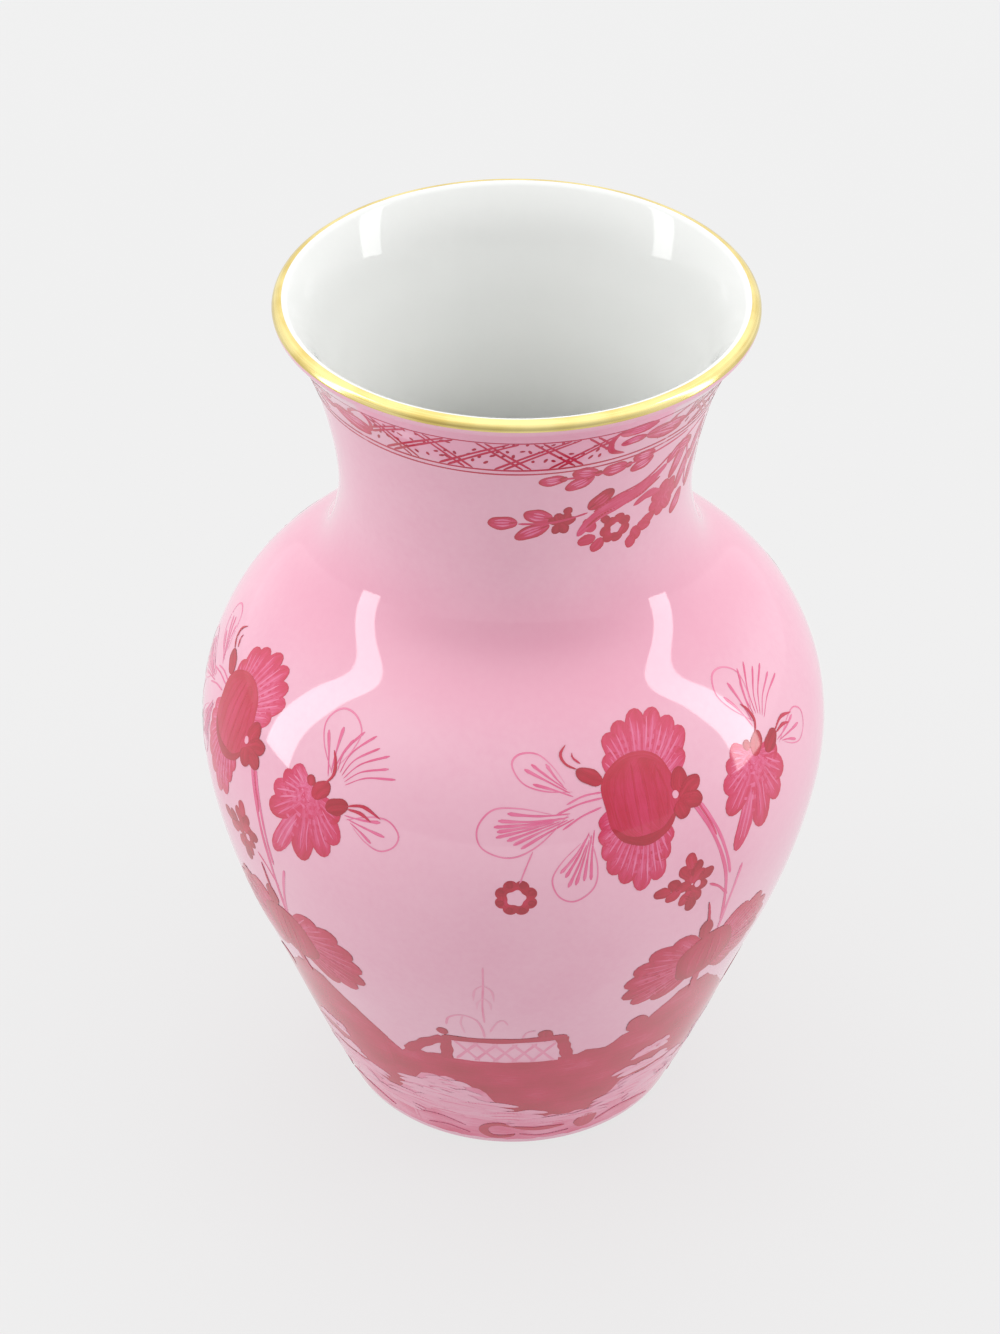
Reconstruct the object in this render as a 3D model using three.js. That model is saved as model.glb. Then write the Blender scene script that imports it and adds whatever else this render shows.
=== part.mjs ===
// A porcelain baluster vase: flared neck, round shoulder, body tapering to a narrow foot.
// It is built up as the real one is made: a biscuit-fired wall, a foot ring luted under it,
// a glaze coat on each face, a glazed base and a gilded band fired over the lip.
// Units are millimetres, +Z is up, and the origin is the middle of the resting face.
import * as THREE from "three";

// Driving dimensions
const SEGMENTS = 36; // flats round each turned piece
const STATIONS = 21; // rings up the wall, from the foot to the lip
const COAT = 0.5; // thickness of a glaze coat or of the gilding
const GAP = 0.3; // clearance between neighbouring pieces
const WALL = 2.6; // thickness of the biscuit wall
const FLOOR_TOP = 10; // height of the glazed floor inside
const FLOOR_CORNER = 9; // radius where the wall rounds into the floor
const CORNER_STEPS = 4;
const RING_HEIGHT = 5;
const RING_WIDTH = 5.4;
const RING_BEVEL = 0.8;
const LIP_STEPS = 6; // flats round the top of the lip
const OUTER_GLAZE_TOP = 295.9;
const GILDING_INSIDE = 298.5; // height the gilding reaches down to inside the mouth

// The outside of the vase, from the foot to the lip, as [radius, height].
const OUTLINE = [
  [58.4, 1], // glaze line above the foot
  [61.6, 9],
  [70, 30],
  [82.2, 64],
  [92.8, 93],
  [99.4, 118],
  [102.5, 141], // widest, at the belly
  [100, 161],
  [92, 179], // shoulder
  [80.2, 192],
  [68.4, 204],
  [59.6, 216],
  [55.5, 232], // narrowest, at the neck
  [56.3, 248],
  [58.9, 262],
  [62.4, 275],
  [67.8, 287.5],
  [74.6, 296.67], // outer edge of the lip
];

const COLOURS = {
  biscuit: 0xe9e2d6,
  rose: 0xeba9c1,
  white: 0xeef0ee,
  gilding: 0xd9bd5c,
};

// Depths below the outside of the finished wall
const BISCUIT_OUTSIDE = COAT + GAP;
const BISCUIT_INSIDE = BISCUIT_OUTSIDE + WALL;
const INNER_COAT_BACK = BISCUIT_INSIDE + GAP;
const INSIDE = INNER_COAT_BACK + COAT;

const outline = new THREE.SplineCurve(OUTLINE.map(([r, z]) => new THREE.Vector2(r, z)));

// Points up the outline, each with the way up it and the way into the clay.
const stations = Array.from({ length: STATIONS + 1 }, (_, i) => {
  const point = outline.getPointAt(i / STATIONS);
  const up = outline.getTangentAt(i / STATIONS);
  return { point, up, inward: new THREE.Vector2(-up.y, up.x) };
});
const lip = stations.at(-1);

// A line up the wall at a depth below its outside, cut level at the heights given.
function wallLine(depth, low, high) {
  const line = stations.map((s) => s.point.clone().addScaledVector(s.inward, depth));
  const level = (z) => {
    const i = line.findIndex((p) => p.y > z);
    const [a, b] = [line[i - 1], line[i]];
    return a.clone().lerp(b, (z - a.y) / (b.y - a.y));
  };
  return [
    ...(low === undefined ? [] : [level(low)]),
    ...line.filter((p) => p.y > (low ?? -Infinity) && p.y < (high ?? Infinity)),
    ...(high === undefined ? [] : [level(high)]),
  ];
}

// The rounded top of a layer of the wall lying between two depths, from outside to inside.
function lipTop(outside, inside) {
  const radius = (inside - outside) / 2;
  const centre = lip.point.clone().addScaledVector(lip.inward, (outside + inside) / 2);
  return Array.from({ length: LIP_STEPS - 1 }, (_, i) => {
    const angle = (Math.PI * (i + 1)) / LIP_STEPS;
    return centre
      .clone()
      .addScaledVector(lip.inward, -radius * Math.cos(angle))
      .addScaledVector(lip.up, radius * Math.sin(angle));
  });
}

// The hollow of the vase at a depth: out along the floor, round the corner and up the wall.
function hollowLine(depth, floor, high) {
  const radius = FLOOR_CORNER + INSIDE - depth;
  const wall = wallLine(depth, floor + radius, high);
  const centre = wall[0].x - radius;
  const corner = Array.from({ length: CORNER_STEPS }, (_, i) => {
    const angle = (Math.PI / 2) * (i / CORNER_STEPS);
    const x = centre + radius * Math.sin(angle);
    return new THREE.Vector2(x, floor + radius * (1 - Math.cos(angle)));
  });
  return [new THREE.Vector2(0, floor), ...corner, ...wall];
}

// A solid turned round +Z from a closed section, listed anticlockwise in (radius, height).
function turned(section) {
  return new THREE.LatheGeometry([...section, section[0]], SEGMENTS).rotateX(Math.PI / 2);
}

function biscuitWall() {
  const base = RING_HEIGHT + GAP;
  const floor = FLOOR_TOP - COAT - GAP;
  return turned([
    new THREE.Vector2(0, base),
    ...wallLine(BISCUIT_OUTSIDE, base),
    ...lipTop(BISCUIT_OUTSIDE, BISCUIT_INSIDE),
    ...hollowLine(BISCUIT_INSIDE, floor).reverse(),
  ]);
}

const ringSide = wallLine(BISCUIT_OUTSIDE, undefined, RING_HEIGHT);
const ringHollow = ringSide[0].x - RING_WIDTH;

function footRing() {
  return turned([
    new THREE.Vector2(ringHollow + RING_BEVEL, 0),
    new THREE.Vector2(ringSide[0].x - RING_BEVEL, 0),
    ...ringSide,
    new THREE.Vector2(ringHollow, RING_HEIGHT),
    new THREE.Vector2(ringHollow, RING_BEVEL),
  ]);
}

function outerGlaze() {
  return turned([
    ...wallLine(0, undefined, OUTER_GLAZE_TOP),
    ...wallLine(COAT, undefined, OUTER_GLAZE_TOP).reverse(),
  ]);
}

function innerGlaze() {
  const top = GILDING_INSIDE - GAP;
  return turned([
    ...hollowLine(INNER_COAT_BACK, FLOOR_TOP - COAT, top),
    ...hollowLine(INSIDE, FLOOR_TOP, top).reverse(),
  ]);
}

function baseGlaze() {
  const radius = ringHollow - GAP;
  return turned([
    new THREE.Vector2(0, RING_HEIGHT - COAT),
    new THREE.Vector2(radius, RING_HEIGHT - COAT),
    new THREE.Vector2(radius, RING_HEIGHT),
    new THREE.Vector2(0, RING_HEIGHT),
  ]);
}

function rimGilding() {
  const outside = OUTER_GLAZE_TOP + GAP;
  return turned([
    ...wallLine(0, outside),
    ...lipTop(0, INSIDE),
    ...wallLine(INSIDE, GILDING_INSIDE).reverse(),
    ...wallLine(INNER_COAT_BACK, GILDING_INSIDE),
    ...lipTop(COAT, INNER_COAT_BACK).reverse(),
    ...wallLine(COAT, outside).reverse(),
  ]);
}

function piece(name, geometry, colour, roughness, metalness = 0) {
  const material = new THREE.MeshStandardMaterial({ color: colour, roughness, metalness });
  const mesh = new THREE.Mesh(geometry, material);
  mesh.name = name;
  return mesh;
}

const vase = new THREE.Group();
vase.add(
  piece("porcelain_body", biscuitWall(), COLOURS.biscuit, 0.6),
  piece("foot_ring", footRing(), COLOURS.biscuit, 0.7),
  piece("outer_glaze", outerGlaze(), COLOURS.rose, 0.06),
  piece("inner_glaze", innerGlaze(), COLOURS.white, 0.06),
  piece("base_glaze", baseGlaze(), COLOURS.white, 0.08),
  piece("rim_gilding", rimGilding(), COLOURS.gilding, 0.15, 1),
);

export default vase;
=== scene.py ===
"""A porcelain baluster vase: rose ground, crimson enamel painting and a gilded lip.

Everything is in metres in the part's own frame: +Z up, the origin under the middle of the foot,
and the front of the painting towards -Y. Sizes named in millimetres are turned to metres as the
meshes are made.
"""

import logging
import math
from collections.abc import Sequence
from dataclasses import dataclass, field, replace
from enum import Enum
from typing import Any

import bpy
import numpy as np
from mathutils import Matrix

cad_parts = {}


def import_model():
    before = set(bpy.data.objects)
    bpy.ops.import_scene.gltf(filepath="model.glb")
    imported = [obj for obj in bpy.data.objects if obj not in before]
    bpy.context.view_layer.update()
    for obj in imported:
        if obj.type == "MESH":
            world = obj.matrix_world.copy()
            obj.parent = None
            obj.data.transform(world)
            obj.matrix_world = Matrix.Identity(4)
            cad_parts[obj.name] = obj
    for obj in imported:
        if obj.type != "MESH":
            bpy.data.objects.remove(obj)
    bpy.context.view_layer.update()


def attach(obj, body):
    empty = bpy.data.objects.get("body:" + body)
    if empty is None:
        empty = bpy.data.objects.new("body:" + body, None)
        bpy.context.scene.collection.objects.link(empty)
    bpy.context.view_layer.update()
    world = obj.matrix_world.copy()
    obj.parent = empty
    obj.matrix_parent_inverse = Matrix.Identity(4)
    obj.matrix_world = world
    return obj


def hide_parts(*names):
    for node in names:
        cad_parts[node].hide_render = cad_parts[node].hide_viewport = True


log = logging.getLogger("vase")

MM = 0.001
WELD = MM / 500
CREASE = math.radians(40)
TONE = "tone"
GRAIN = "brush_grain"
Colour = tuple[float, float, float]


# ---------------------------------------------------------------- the shape that is turned


class Form:
    """The outside of the vase as it is turned, followed along its profile from the foot up."""

    OUTLINE = (
        (58.0, 0.0),
        (61.6, 9.0),
        (70.0, 30.0),
        (82.2, 64.0),
        (92.8, 93.0),
        (99.3, 118.0),
        (102.2, 141.0),
        (99.8, 161.0),
        (92.1, 179.0),
        (81.3, 192.0),
        (65.4, 205.0),
        (58.8, 215.5),
        (55.4, 232.0),
        (56.3, 248.0),
        (58.9, 262.0),
        (62.4, 275.0),
        (67.6, 287.3),
        (73.5, 295.42),
    )
    STEP = 0.5
    FAIRING = 60
    LIP_SWELL = 0.333
    LIP_REACH = 24.0

    def __init__(self) -> None:
        """Draws a fair curve through the outline and measures along it."""
        line = self.through(np.array(self.OUTLINE))
        line = self._evenly(line)
        for _ in range(self.FAIRING):
            line[1:-1] += 0.5 * ((line[:-2] + line[2:]) / 2 - line[1:-1])
        steps = np.hypot(*np.diff(line, axis=0).T)
        self.arcs = np.concatenate([[0.0], np.cumsum(steps)])
        self.radii, self.heights = line.T
        along = np.gradient(line, self.arcs, axis=0)
        along /= np.hypot(*along.T)[:, None]
        self.out_r, self.out_z = along[:, 1], -along[:, 0]
        self.length = float(self.arcs[-1])

    @staticmethod
    def through(points: np.ndarray, fine: int = 60) -> np.ndarray:
        """Gives a smooth line through points, following the turn at each of them.

        Args:
            points: rows of two measures.
            fine: how many steps go between one point and the next.

        Returns:
            The line's points.
        """
        padded = np.vstack([points[0], points, points[-1]])
        t = np.linspace(0, 1, fine, endpoint=False)[:, None]
        pieces = []
        for a, b, c, d in zip(padded, padded[1:], padded[2:], padded[3:]):
            lead, trail = (c - a) / 2, (d - b) / 2
            cubic = 2 * b - 2 * c + lead + trail
            square = -3 * b + 3 * c - 2 * lead - trail
            pieces.append(((cubic * t + square) * t + lead) * t + b)
        return np.vstack([*pieces, points[-1:]])

    def _evenly(self, line: np.ndarray) -> np.ndarray:
        """Spaces the points of a line evenly.

        Args:
            line: rows of radius and height in millimetres.

        Returns:
            The same line, STEP apart.
        """
        arcs = np.concatenate([[0.0], np.cumsum(np.hypot(*np.diff(line, axis=0).T))])
        even = np.linspace(0, arcs[-1], round(arcs[-1] / self.STEP) + 1)
        return np.column_stack([np.interp(even, arcs, line[:, k]) for k in (0, 1)])

    def arc_at(self, height: float) -> float:
        """Gives how far along the profile a height is, in millimetres."""
        return float(np.interp(height, self.heights, self.arcs))

    def radius(self, arc: np.ndarray) -> np.ndarray:
        """Gives the radius at distances along the profile, in millimetres."""
        return np.interp(arc, self.arcs, self.radii)

    def surface(self, around: np.ndarray, arc: np.ndarray, lift: np.ndarray) -> tuple:
        """Finds points on the outside of the vase.

        Args:
            around: degrees round from the front, positive to the right.
            arc: millimetres up the profile from the foot.
            lift: millimetres above the glaze.

        Returns:
            The points, in metres, and the outward directions there.
        """
        out_r, out_z = (np.interp(arc, self.arcs, k) for k in (self.out_r, self.out_z))
        r = self.radius(arc) + lift * out_r
        z = np.interp(arc, self.arcs, self.heights) + lift * out_z
        a = np.radians(around)
        points = np.stack([r * np.sin(a), -r * np.cos(a), z], axis=-1) * MM
        return points, np.stack([out_r * np.sin(a), -out_r * np.cos(a), out_z], axis=-1)

    def swell(self, arc: np.ndarray) -> np.ndarray:
        """Gives how many times thicker the wall is than low down, as it nears the lip."""
        near = np.clip((arc - self.length + self.LIP_REACH) / self.LIP_REACH, 0, 1)
        return 1 + self.LIP_SWELL * near * near * (3 - 2 * near)

    def wall(self, depth: float, low: float = 0.0, step: float = 2.2) -> np.ndarray:
        """Draws the wall at a depth inside the outline, from an arc up to the lip.

        Args:
            depth: millimetres in from the outside.
            low: where the line starts, in millimetres along the profile.
            step: millimetres between points.

        Returns:
            Rows of radius and height in millimetres.
        """
        arc = np.linspace(low, self.length, round((self.length - low) / step) + 1)
        out_r, out_z = (np.interp(arc, self.arcs, k) for k in (self.out_r, self.out_z))
        z = np.interp(arc, self.arcs, self.heights)
        deep = depth * self.swell(arc)
        return np.column_stack([self.radius(arc) - deep * out_r, z - deep * out_z])

    def lip(self, outside: float, inside: float, start: float, end: float) -> np.ndarray:
        """Draws part of the rounded lip over a layer of the wall.

        Args:
            outside: depth of the layer's outer face.
            inside: depth of the layer's inner face.
            start: where the arc starts, in degrees from the outer face.
            end: where it ends.

        Returns:
            Rows of radius and height in millimetres, both ends included.
        """
        out = np.array([self.out_r[-1], self.out_z[-1]])
        up = np.array([-out[1], out[0]])
        top = np.array([self.radii[-1], self.heights[-1]])
        thick = 1 + self.LIP_SWELL
        centre = top - out * thick * (outside + inside) / 2
        radius = thick * (inside - outside) / 2
        a = np.radians(np.linspace(start, end, 17))[:, None]
        return centre + radius * (np.cos(a) * out + np.sin(a) * up)


def turn_on_wheel(name: str, section: np.ndarray, steps: int = 192) -> bpy.types.Object:
    """Draws a closed section point by point and spins it round the vase's axis.

    Args:
        name: the piece's name.
        section: rows of radius and height in millimetres, the last joining the first.
        steps: how many steps make the full turn.

    Returns:
        The turned piece, closed and smooth.
    """
    closed = np.vstack([section, section[:1]]) * MM
    bpy.ops.object.select_all(action="DESELECT")
    bpy.ops.mesh.primitive_plane_add(size=MM, location=(0, 0, 0))
    piece = bpy.context.object
    piece.name = piece.data.name = name
    bpy.ops.object.mode_set(mode="EDIT")
    bpy.ops.mesh.merge(type="CENTER")
    bpy.ops.transform.translate(value=(closed[0, 0], 0, closed[0, 1]))
    for r, z in np.diff(closed, axis=0):
        bpy.ops.mesh.extrude_region_move(TRANSFORM_OT_translate={"value": (r, 0, z)})
    bpy.ops.mesh.select_all(action="SELECT")
    bpy.ops.mesh.remove_doubles(threshold=WELD)
    bpy.ops.mesh.spin(steps=steps, angle=math.tau, center=(0, 0, 0), axis=(0, 0, 1))
    bpy.ops.mesh.select_all(action="SELECT")
    bpy.ops.mesh.remove_doubles(threshold=WELD)
    bpy.ops.mesh.normals_make_consistent(inside=False)
    bpy.ops.object.mode_set(mode="OBJECT")
    bpy.ops.object.shade_smooth_by_angle(angle=CREASE)
    return piece


# ---------------------------------------------------------------- mixing a finish


class Tap:
    """A value in a finish that takes arithmetic, each operator adding its Math node."""

    def __init__(self, bench: "Bench", socket: bpy.types.NodeSocket) -> None:
        """Holds a node's output."""
        self.bench = bench
        self.socket = socket

    def _math(self, operation: str, *values: Any) -> "Tap":
        """Adds one Math node."""
        inputs = dict(enumerate(values))
        return self.bench.node("ShaderNodeMath", {"operation": operation}, inputs)

    def __add__(self, other: Any) -> "Tap":
        """Adds."""
        return self._math("ADD", self, other)

    def __sub__(self, other: Any) -> "Tap":
        """Takes away."""
        return self._math("SUBTRACT", self, other)

    def __rsub__(self, other: Any) -> "Tap":
        """Takes this away from a number."""
        return self._math("SUBTRACT", other, self)

    def __mul__(self, other: Any) -> "Tap":
        """Multiplies."""
        return self._math("MULTIPLY", self, other)

    def between(self, low: float, high: float) -> "Tap":
        """Rises smoothly from 0 at low to 1 at high.

        Args:
            low: where the rise starts.
            high: where it ends.

        Returns:
            The risen value.
        """
        inputs = {"Value": self, "From Min": low, "From Max": high}
        settings = {"interpolation_type": "SMOOTHSTEP"}
        return self.bench.node("ShaderNodeMapRange", settings, inputs)


class Bench:
    """The node tree of one finish while it is being mixed."""

    def __init__(self, name: str) -> None:
        """Starts a material with an empty Principled surface.

        Args:
            name: the material's name.
        """
        self.material = bpy.data.materials.new(name)
        self.material.use_nodes = True
        self.tree = self.material.node_tree
        self.surface = self.tree.nodes["Principled BSDF"]

    @classmethod
    def of(cls, tree: bpy.types.NodeTree) -> "Bench":
        """Works on a node tree that is there already.

        Args:
            tree: the nodes to work on.

        Returns:
            The bench.
        """
        bench = cls.__new__(cls)
        bench.tree = tree
        return bench

    def node(self, kind: str, settings: dict, inputs: dict, output: Any = 0) -> Tap:
        """Adds a node.

        Args:
            kind: the node's type.
            settings: its properties, set first, with "stops" for a colour ramp's stops.
            inputs: values or taps for its sockets, by name or place.
            output: which output to give back.

        Returns:
            The chosen output.
        """
        node = self.tree.nodes.new(kind)
        for key, value in settings.items():
            if key == "stops":
                self._stops(node.color_ramp.elements, value)
            else:
                setattr(node, key, value)
        for key, value in inputs.items():
            if isinstance(value, Tap):
                self.tree.links.new(value.socket, node.inputs[key])
            else:
                node.inputs[key].default_value = value
        return Tap(self, node.outputs[output])

    @staticmethod
    def _stops(elements: Any, stops: Sequence[tuple[float, Colour]]) -> None:
        """Sets a ramp's stops.

        Args:
            elements: the ramp's elements.
            stops: each place from 0 to 1 and its colour.
        """
        while len(elements) < len(stops):
            elements.new(1.0)
        for element, (place, colour) in zip(elements, stops):
            element.position = place
            element.color = (*colour, 1.0)

    def place(self) -> Tap:
        """Gives the place on the piece, in metres."""
        return self.node("ShaderNodeTexCoord", {}, {}, "Object")

    def noise(self, at: Tap, scale: float, detail: float = 2.0, rough: float = 0.5) -> Tap:
        """Gives a cloudy value between 0 and 1."""
        inputs = {"Vector": at, "Scale": scale, "Detail": detail, "Roughness": rough}
        return self.node("ShaderNodeTexNoise", {}, inputs, 0)

    def blend(self, amount: Any, first: Any, second: Any) -> Tap:
        """Blends two colours.

        Args:
            amount: how much of the second colour shows.
            first: a colour or a tap.
            second: a colour or a tap.

        Returns:
            The blended colour.
        """
        first, second = ((*c, 1.0) if isinstance(c, tuple) else c for c in (first, second))
        inputs = {0: amount, 6: first, 7: second}
        return self.node("ShaderNodeMix", {"data_type": "RGBA"}, inputs, 2)

    def along(self, at: Tap, axis: str) -> Tap:
        """Gives how far a place lies along one axis."""
        return self.node("ShaderNodeSeparateXYZ", {}, {0: at}, axis)

    def gloss(self, at: Tap, smoothest: float) -> Tap:
        """Gives the roughness of a fired gloss, a little uneven from place to place."""
        return self.noise(at, 90, 3) * 0.03 + smoothest

    def stretched(self, at: Tap, scale: Colour) -> Tap:
        """Stretches the place so that a pattern runs along an axis."""
        return self.node("ShaderNodeMapping", {}, {"Vector": at, "Scale": scale})

    def bump(self, height: Tap, depth: float) -> None:
        """Raises the surface by a height, at most by a depth in metres."""
        inputs = {"Height": height, "Distance": depth, "Strength": 1.0}
        self.feed(Normal=self.node("ShaderNodeBump", {}, inputs))

    def feed(self, **inputs: Any) -> None:
        """Sets the surface's sockets, each named with spaces written as underscores.

        Args:
            inputs: a number, a colour or a tap for each socket.
        """
        for key, value in inputs.items():
            socket = self.surface.inputs[key.replace("_", " ")]
            if isinstance(value, Tap):
                self.tree.links.new(value.socket, socket)
            elif isinstance(value, tuple):
                socket.default_value = (*value, 1.0)
            else:
                socket.default_value = value


def srgb(red: int, green: int, blue: int) -> Colour:
    """Turns a paint chip's colour, each part out of 255, into a linear one."""
    parts = (c / 255 for c in (red, green, blue))
    return tuple(c / 12.92 if c < 0.04045 else ((c + 0.055) / 1.055) ** 2.4 for c in parts)


@dataclass(frozen=True)
class RoseGround:
    """The rose ground: a thin coloured glaze over white, with a deeper rose painted as shade
    under the neck.
    """

    light: Colour = srgb(224, 172, 190)
    deep: Colour = srgb(218, 156, 178)
    # The deeper rose, and the band of heights where it is painted as shade under the neck.
    pooling_and_neck_shade: Colour = srgb(221, 149, 173)
    neck_shade_band: tuple[float, float, float, float] = (0.188, 0.203, 0.212, 0.236)
    neck_shade_strength: float = 0.5
    index: float = 1.7
    smoothest: float = 0.035
    peel: float = 0.00002

    def colour(self, bench: Bench, place: Tap) -> Tap:
        """Gives the ground's colour at a place, with the painted shade under the neck; used
        under the enamel too.

        Args:
            bench: the finish being mixed.
            place: the place on the piece.

        Returns:
            The colour.
        """
        cloud = bench.noise(place, 16, 3)
        fine = bench.noise(place, 420, 2, 0.6)
        amount = (cloud * 0.9 + fine * 0.25 - 0.1).between(0.25, 0.85)
        spread = bench.blend(amount, self.light, self.deep)
        # Painted shade: the ground turns a deeper rose in a band of heights under the neck.
        height = bench.along(place, "Z")
        rises, starts, stops, ends = self.neck_shade_band
        here = height.between(rises, starts) * (1 - height.between(stops, ends))
        return bench.blend(here * self.neck_shade_strength, spread, self.pooling_and_neck_shade)

    def mix(self) -> bpy.types.Material:
        """Mixes the finish.

        Returns:
            The finish.
        """
        bench = Bench("rose_ground")
        place = bench.place()
        bench.feed(Base_Color=self.colour(bench, place), IOR=self.index)
        bench.feed(Roughness=bench.gloss(place, self.smoothest))
        bench.bump(bench.noise(place, 55, 1), self.peel)
        return bench.material


@dataclass(frozen=True)
class WhiteGlaze:
    """Clear glaze over white porcelain, painted greyer at the lip as shade and whiter lower
    down as painted light.
    """

    name: str
    # thin is the grey painted as shade at the lip; thick is the white painted as light lower
    # down.
    thin: Colour = srgb(223, 224, 222)
    thick: Colour = srgb(253, 253, 250)
    cool: Colour = srgb(246, 249, 246)
    lip_shade_from: float = 0.21
    lip_shade_to: float = 0.295
    index: float = 1.52
    smoothest: float = 0.04
    ripple: float = 0.00003

    def mix(self) -> bpy.types.Material:
        """Mixes the finish.

        Returns:
            The finish.
        """
        bench = Bench(self.name)
        place = bench.place()
        pooling_and_neck_shade = bench.noise(place, 11, 3).between(0.35, 0.7)
        body = bench.blend(pooling_and_neck_shade, self.thick, self.cool)
        # Painted light and shade: whiter lower down inside, greyer towards the lip.
        lip_shade = bench.along(place, "Z").between(self.lip_shade_from, self.lip_shade_to)
        bench.feed(Base_Color=bench.blend(lip_shade, body, self.thin), IOR=self.index)
        bench.feed(Roughness=bench.gloss(place, self.smoothest))
        bench.bump(bench.noise(place, 50, 1), self.ripple)
        return bench.material


@dataclass(frozen=True)
class Biscuit:
    """Bare fired porcelain, dry and fine in grain, a little stained where it is handled."""

    name: str
    clay: Colour = srgb(232, 222, 206)
    stain: Colour = srgb(196, 176, 148)
    driest: float = 0.62
    grit: float = 0.00006

    def mix(self) -> bpy.types.Material:
        """Mixes the finish.

        Returns:
            The finish.
        """
        bench = Bench(self.name)
        place = bench.place()
        grain = bench.noise(place, 2600, 3, 0.7)
        worn = bench.noise(place, 120, 4, 0.6).between(0.45, 0.75)
        bench.feed(Base_Color=bench.blend(worn * 0.6, self.clay, self.stain))
        bench.feed(Roughness=grain * 0.15 + self.driest)
        bench.bump(grain, self.grit)
        return bench.material


@dataclass(frozen=True)
class Gold:
    """Burnished gold, laid with a brush round the lip and rubbed thin in places."""

    bright: Colour = srgb(236, 219, 150)
    deep: Colour = srgb(211, 187, 108)
    smoothest: float = 0.1
    brush_marks: float = 0.00003

    def mix(self) -> bpy.types.Material:
        """Mixes the finish.

        Returns:
            The finish.
        """
        bench = Bench("burnished_gold")
        place = bench.place()
        brushed = bench.noise(bench.stretched(place, (12, 12, 900)), 2.0, 3, 0.6)
        cloud = bench.noise(place, 60, 3)
        amount = (brushed * 0.5 + cloud * 0.5).between(0.38, 0.66)
        bench.feed(Base_Color=bench.blend(amount, self.bright, self.deep), Metallic=1.0)
        bench.feed(Roughness=cloud * 0.12 + self.smoothest)
        bench.bump(brushed, self.brush_marks)
        return bench.material


@dataclass(frozen=True)
class CrimsonEnamel:
    """Crimson enamel laid over the ground, from a pale rose wash to a full brush."""

    FULL = (
        (0.0, srgb(224, 164, 184)),
        (0.25, srgb(224, 138, 168)),
        (0.42, srgb(214, 96, 138)),
        (0.6, srgb(199, 46, 90)),
        (0.8, srgb(182, 26, 56)),
        (1.0, srgb(156, 14, 38)),
    )
    WASH = (
        (0.0, srgb(224, 164, 184)),
        (0.25, srgb(220, 134, 162)),
        (0.45, srgb(208, 78, 118)),
        (0.65, srgb(189, 15, 67)),
        (0.85, srgb(171, 8, 47)),
        (1.0, srgb(152, 10, 38)),
    )

    name: str
    ground: RoseGround
    stops: tuple[tuple[float, Colour], ...] = FULL
    smoothest: float = 0.05

    def mix(self) -> bpy.types.Material:
        """Mixes the finish: the tone is painted on the mesh, the grain runs with the brush.

        Returns:
            The finish.
        """
        bench = Bench(self.name)
        place = bench.place()
        tone = bench.node("ShaderNodeAttribute", {"attribute_name": TONE}, {}, "Fac")
        brush = bench.node("ShaderNodeUVMap", {"uv_map": GRAIN}, {})
        hairs = bench.noise(bench.stretched(brush, (0.09, 2.4, 1.0)), 1.0, 3, 0.6)
        water = bench.noise(place, 150, 4, 0.6)
        laid = tone.between(0.0, 0.25)
        spread = (hairs - 0.5) * 0.34 + (water - 0.5) * 0.22
        ramp = {"stops": self.stops}
        paint = bench.node("ShaderNodeValToRGB", ramp, {"Fac": tone + spread * laid})
        # Where the brush is light the ground shows through, painted shade under the neck
        # included.
        shown = bench.blend(laid, self.ground.colour(bench, place), paint)
        bench.feed(Base_Color=shown, IOR=self.ground.index)
        bench.feed(Roughness=bench.gloss(place, self.smoothest))
        bench.bump(bench.noise(place, 55, 1), self.ground.peel)
        return bench.material


# ---------------------------------------------------------------- the turned pieces


@dataclass
class Pot:
    """The fired clay: the wall, and the ring that it stands on. Sizes in millimetres."""

    form: Form
    coat: float = 0.5
    wall: float = 3.2
    ring_height: float = 5.0
    ring_width: float = 5.4
    ring_inset: float = 0.25
    ring_edge: float = 0.9
    floor_top: float = 9.5
    corner: float = 16.0

    @property
    def inside(self) -> float:
        """The depth of the finished inner face."""
        return self.wall + 2 * self.coat

    def hollow(self, depth: float, floor: float) -> np.ndarray:
        """Draws the hollow at a depth, from the middle of the floor up to the lip.

        Args:
            depth: millimetres in from the outside of the vase.
            floor: height of the floor.

        Returns:
            Rows of radius and height in millimetres.
        """
        radius = self.corner + self.inside - depth
        wall = self.form.wall(depth, self.form.arc_at(floor + radius))
        lean = wall[1] - wall[0]
        tilt = math.atan2(lean[0], lean[1])
        across = radius * math.cos(tilt)
        centre = wall[0] - np.array([across, -radius * math.sin(tilt)])
        a = np.linspace(-math.pi / 2, -tilt, 12)[:-1]
        curve = centre + radius * np.column_stack([np.cos(a), np.sin(a)])
        curve[:, 1] += floor - curve[0, 1]
        return np.vstack([[0.0, curve[0, 1]], curve, wall])

    def throw(self) -> bpy.types.Object:
        """Turns the clay wall that the coats cover.

        Returns:
            The wall.
        """
        outer, inner = self.coat, self.coat + self.wall
        start = self.form.arc_at(self.ring_height)
        section = [
            [[0.0, self.ring_height]],
            self.form.wall(outer, start),
            self.form.lip(outer, inner, 0, 180)[1:-1],
            self.hollow(inner, self.floor_top)[::-1],
        ]
        return turn_on_wheel("clay_wall", np.vstack(section))

    def foot(self) -> bpy.types.Object:
        """Turns the bare ring under the wall, its edges rubbed round.

        Returns:
            The ring.
        """
        side = self.form.wall(self.ring_inset)[:3]
        outer = side[0, 0]
        hollow = outer - self.ring_width
        a = np.linspace(0, math.pi / 2, 7)
        edge, bed = self.ring_edge, self.ring_height - 0.05
        turn_out = np.column_stack([outer - edge + edge * np.sin(a), edge - edge * np.cos(a)])
        turn_in = np.column_stack([hollow + edge - edge * np.cos(a), edge - edge * np.sin(a)])
        top = [[side[2, 0] - 0.4, bed], [hollow, bed]]
        section = np.vstack([turn_out, side[1:3] - [0.2, 0], top, turn_in])
        return turn_on_wheel("foot_ring_bare", section)


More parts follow.
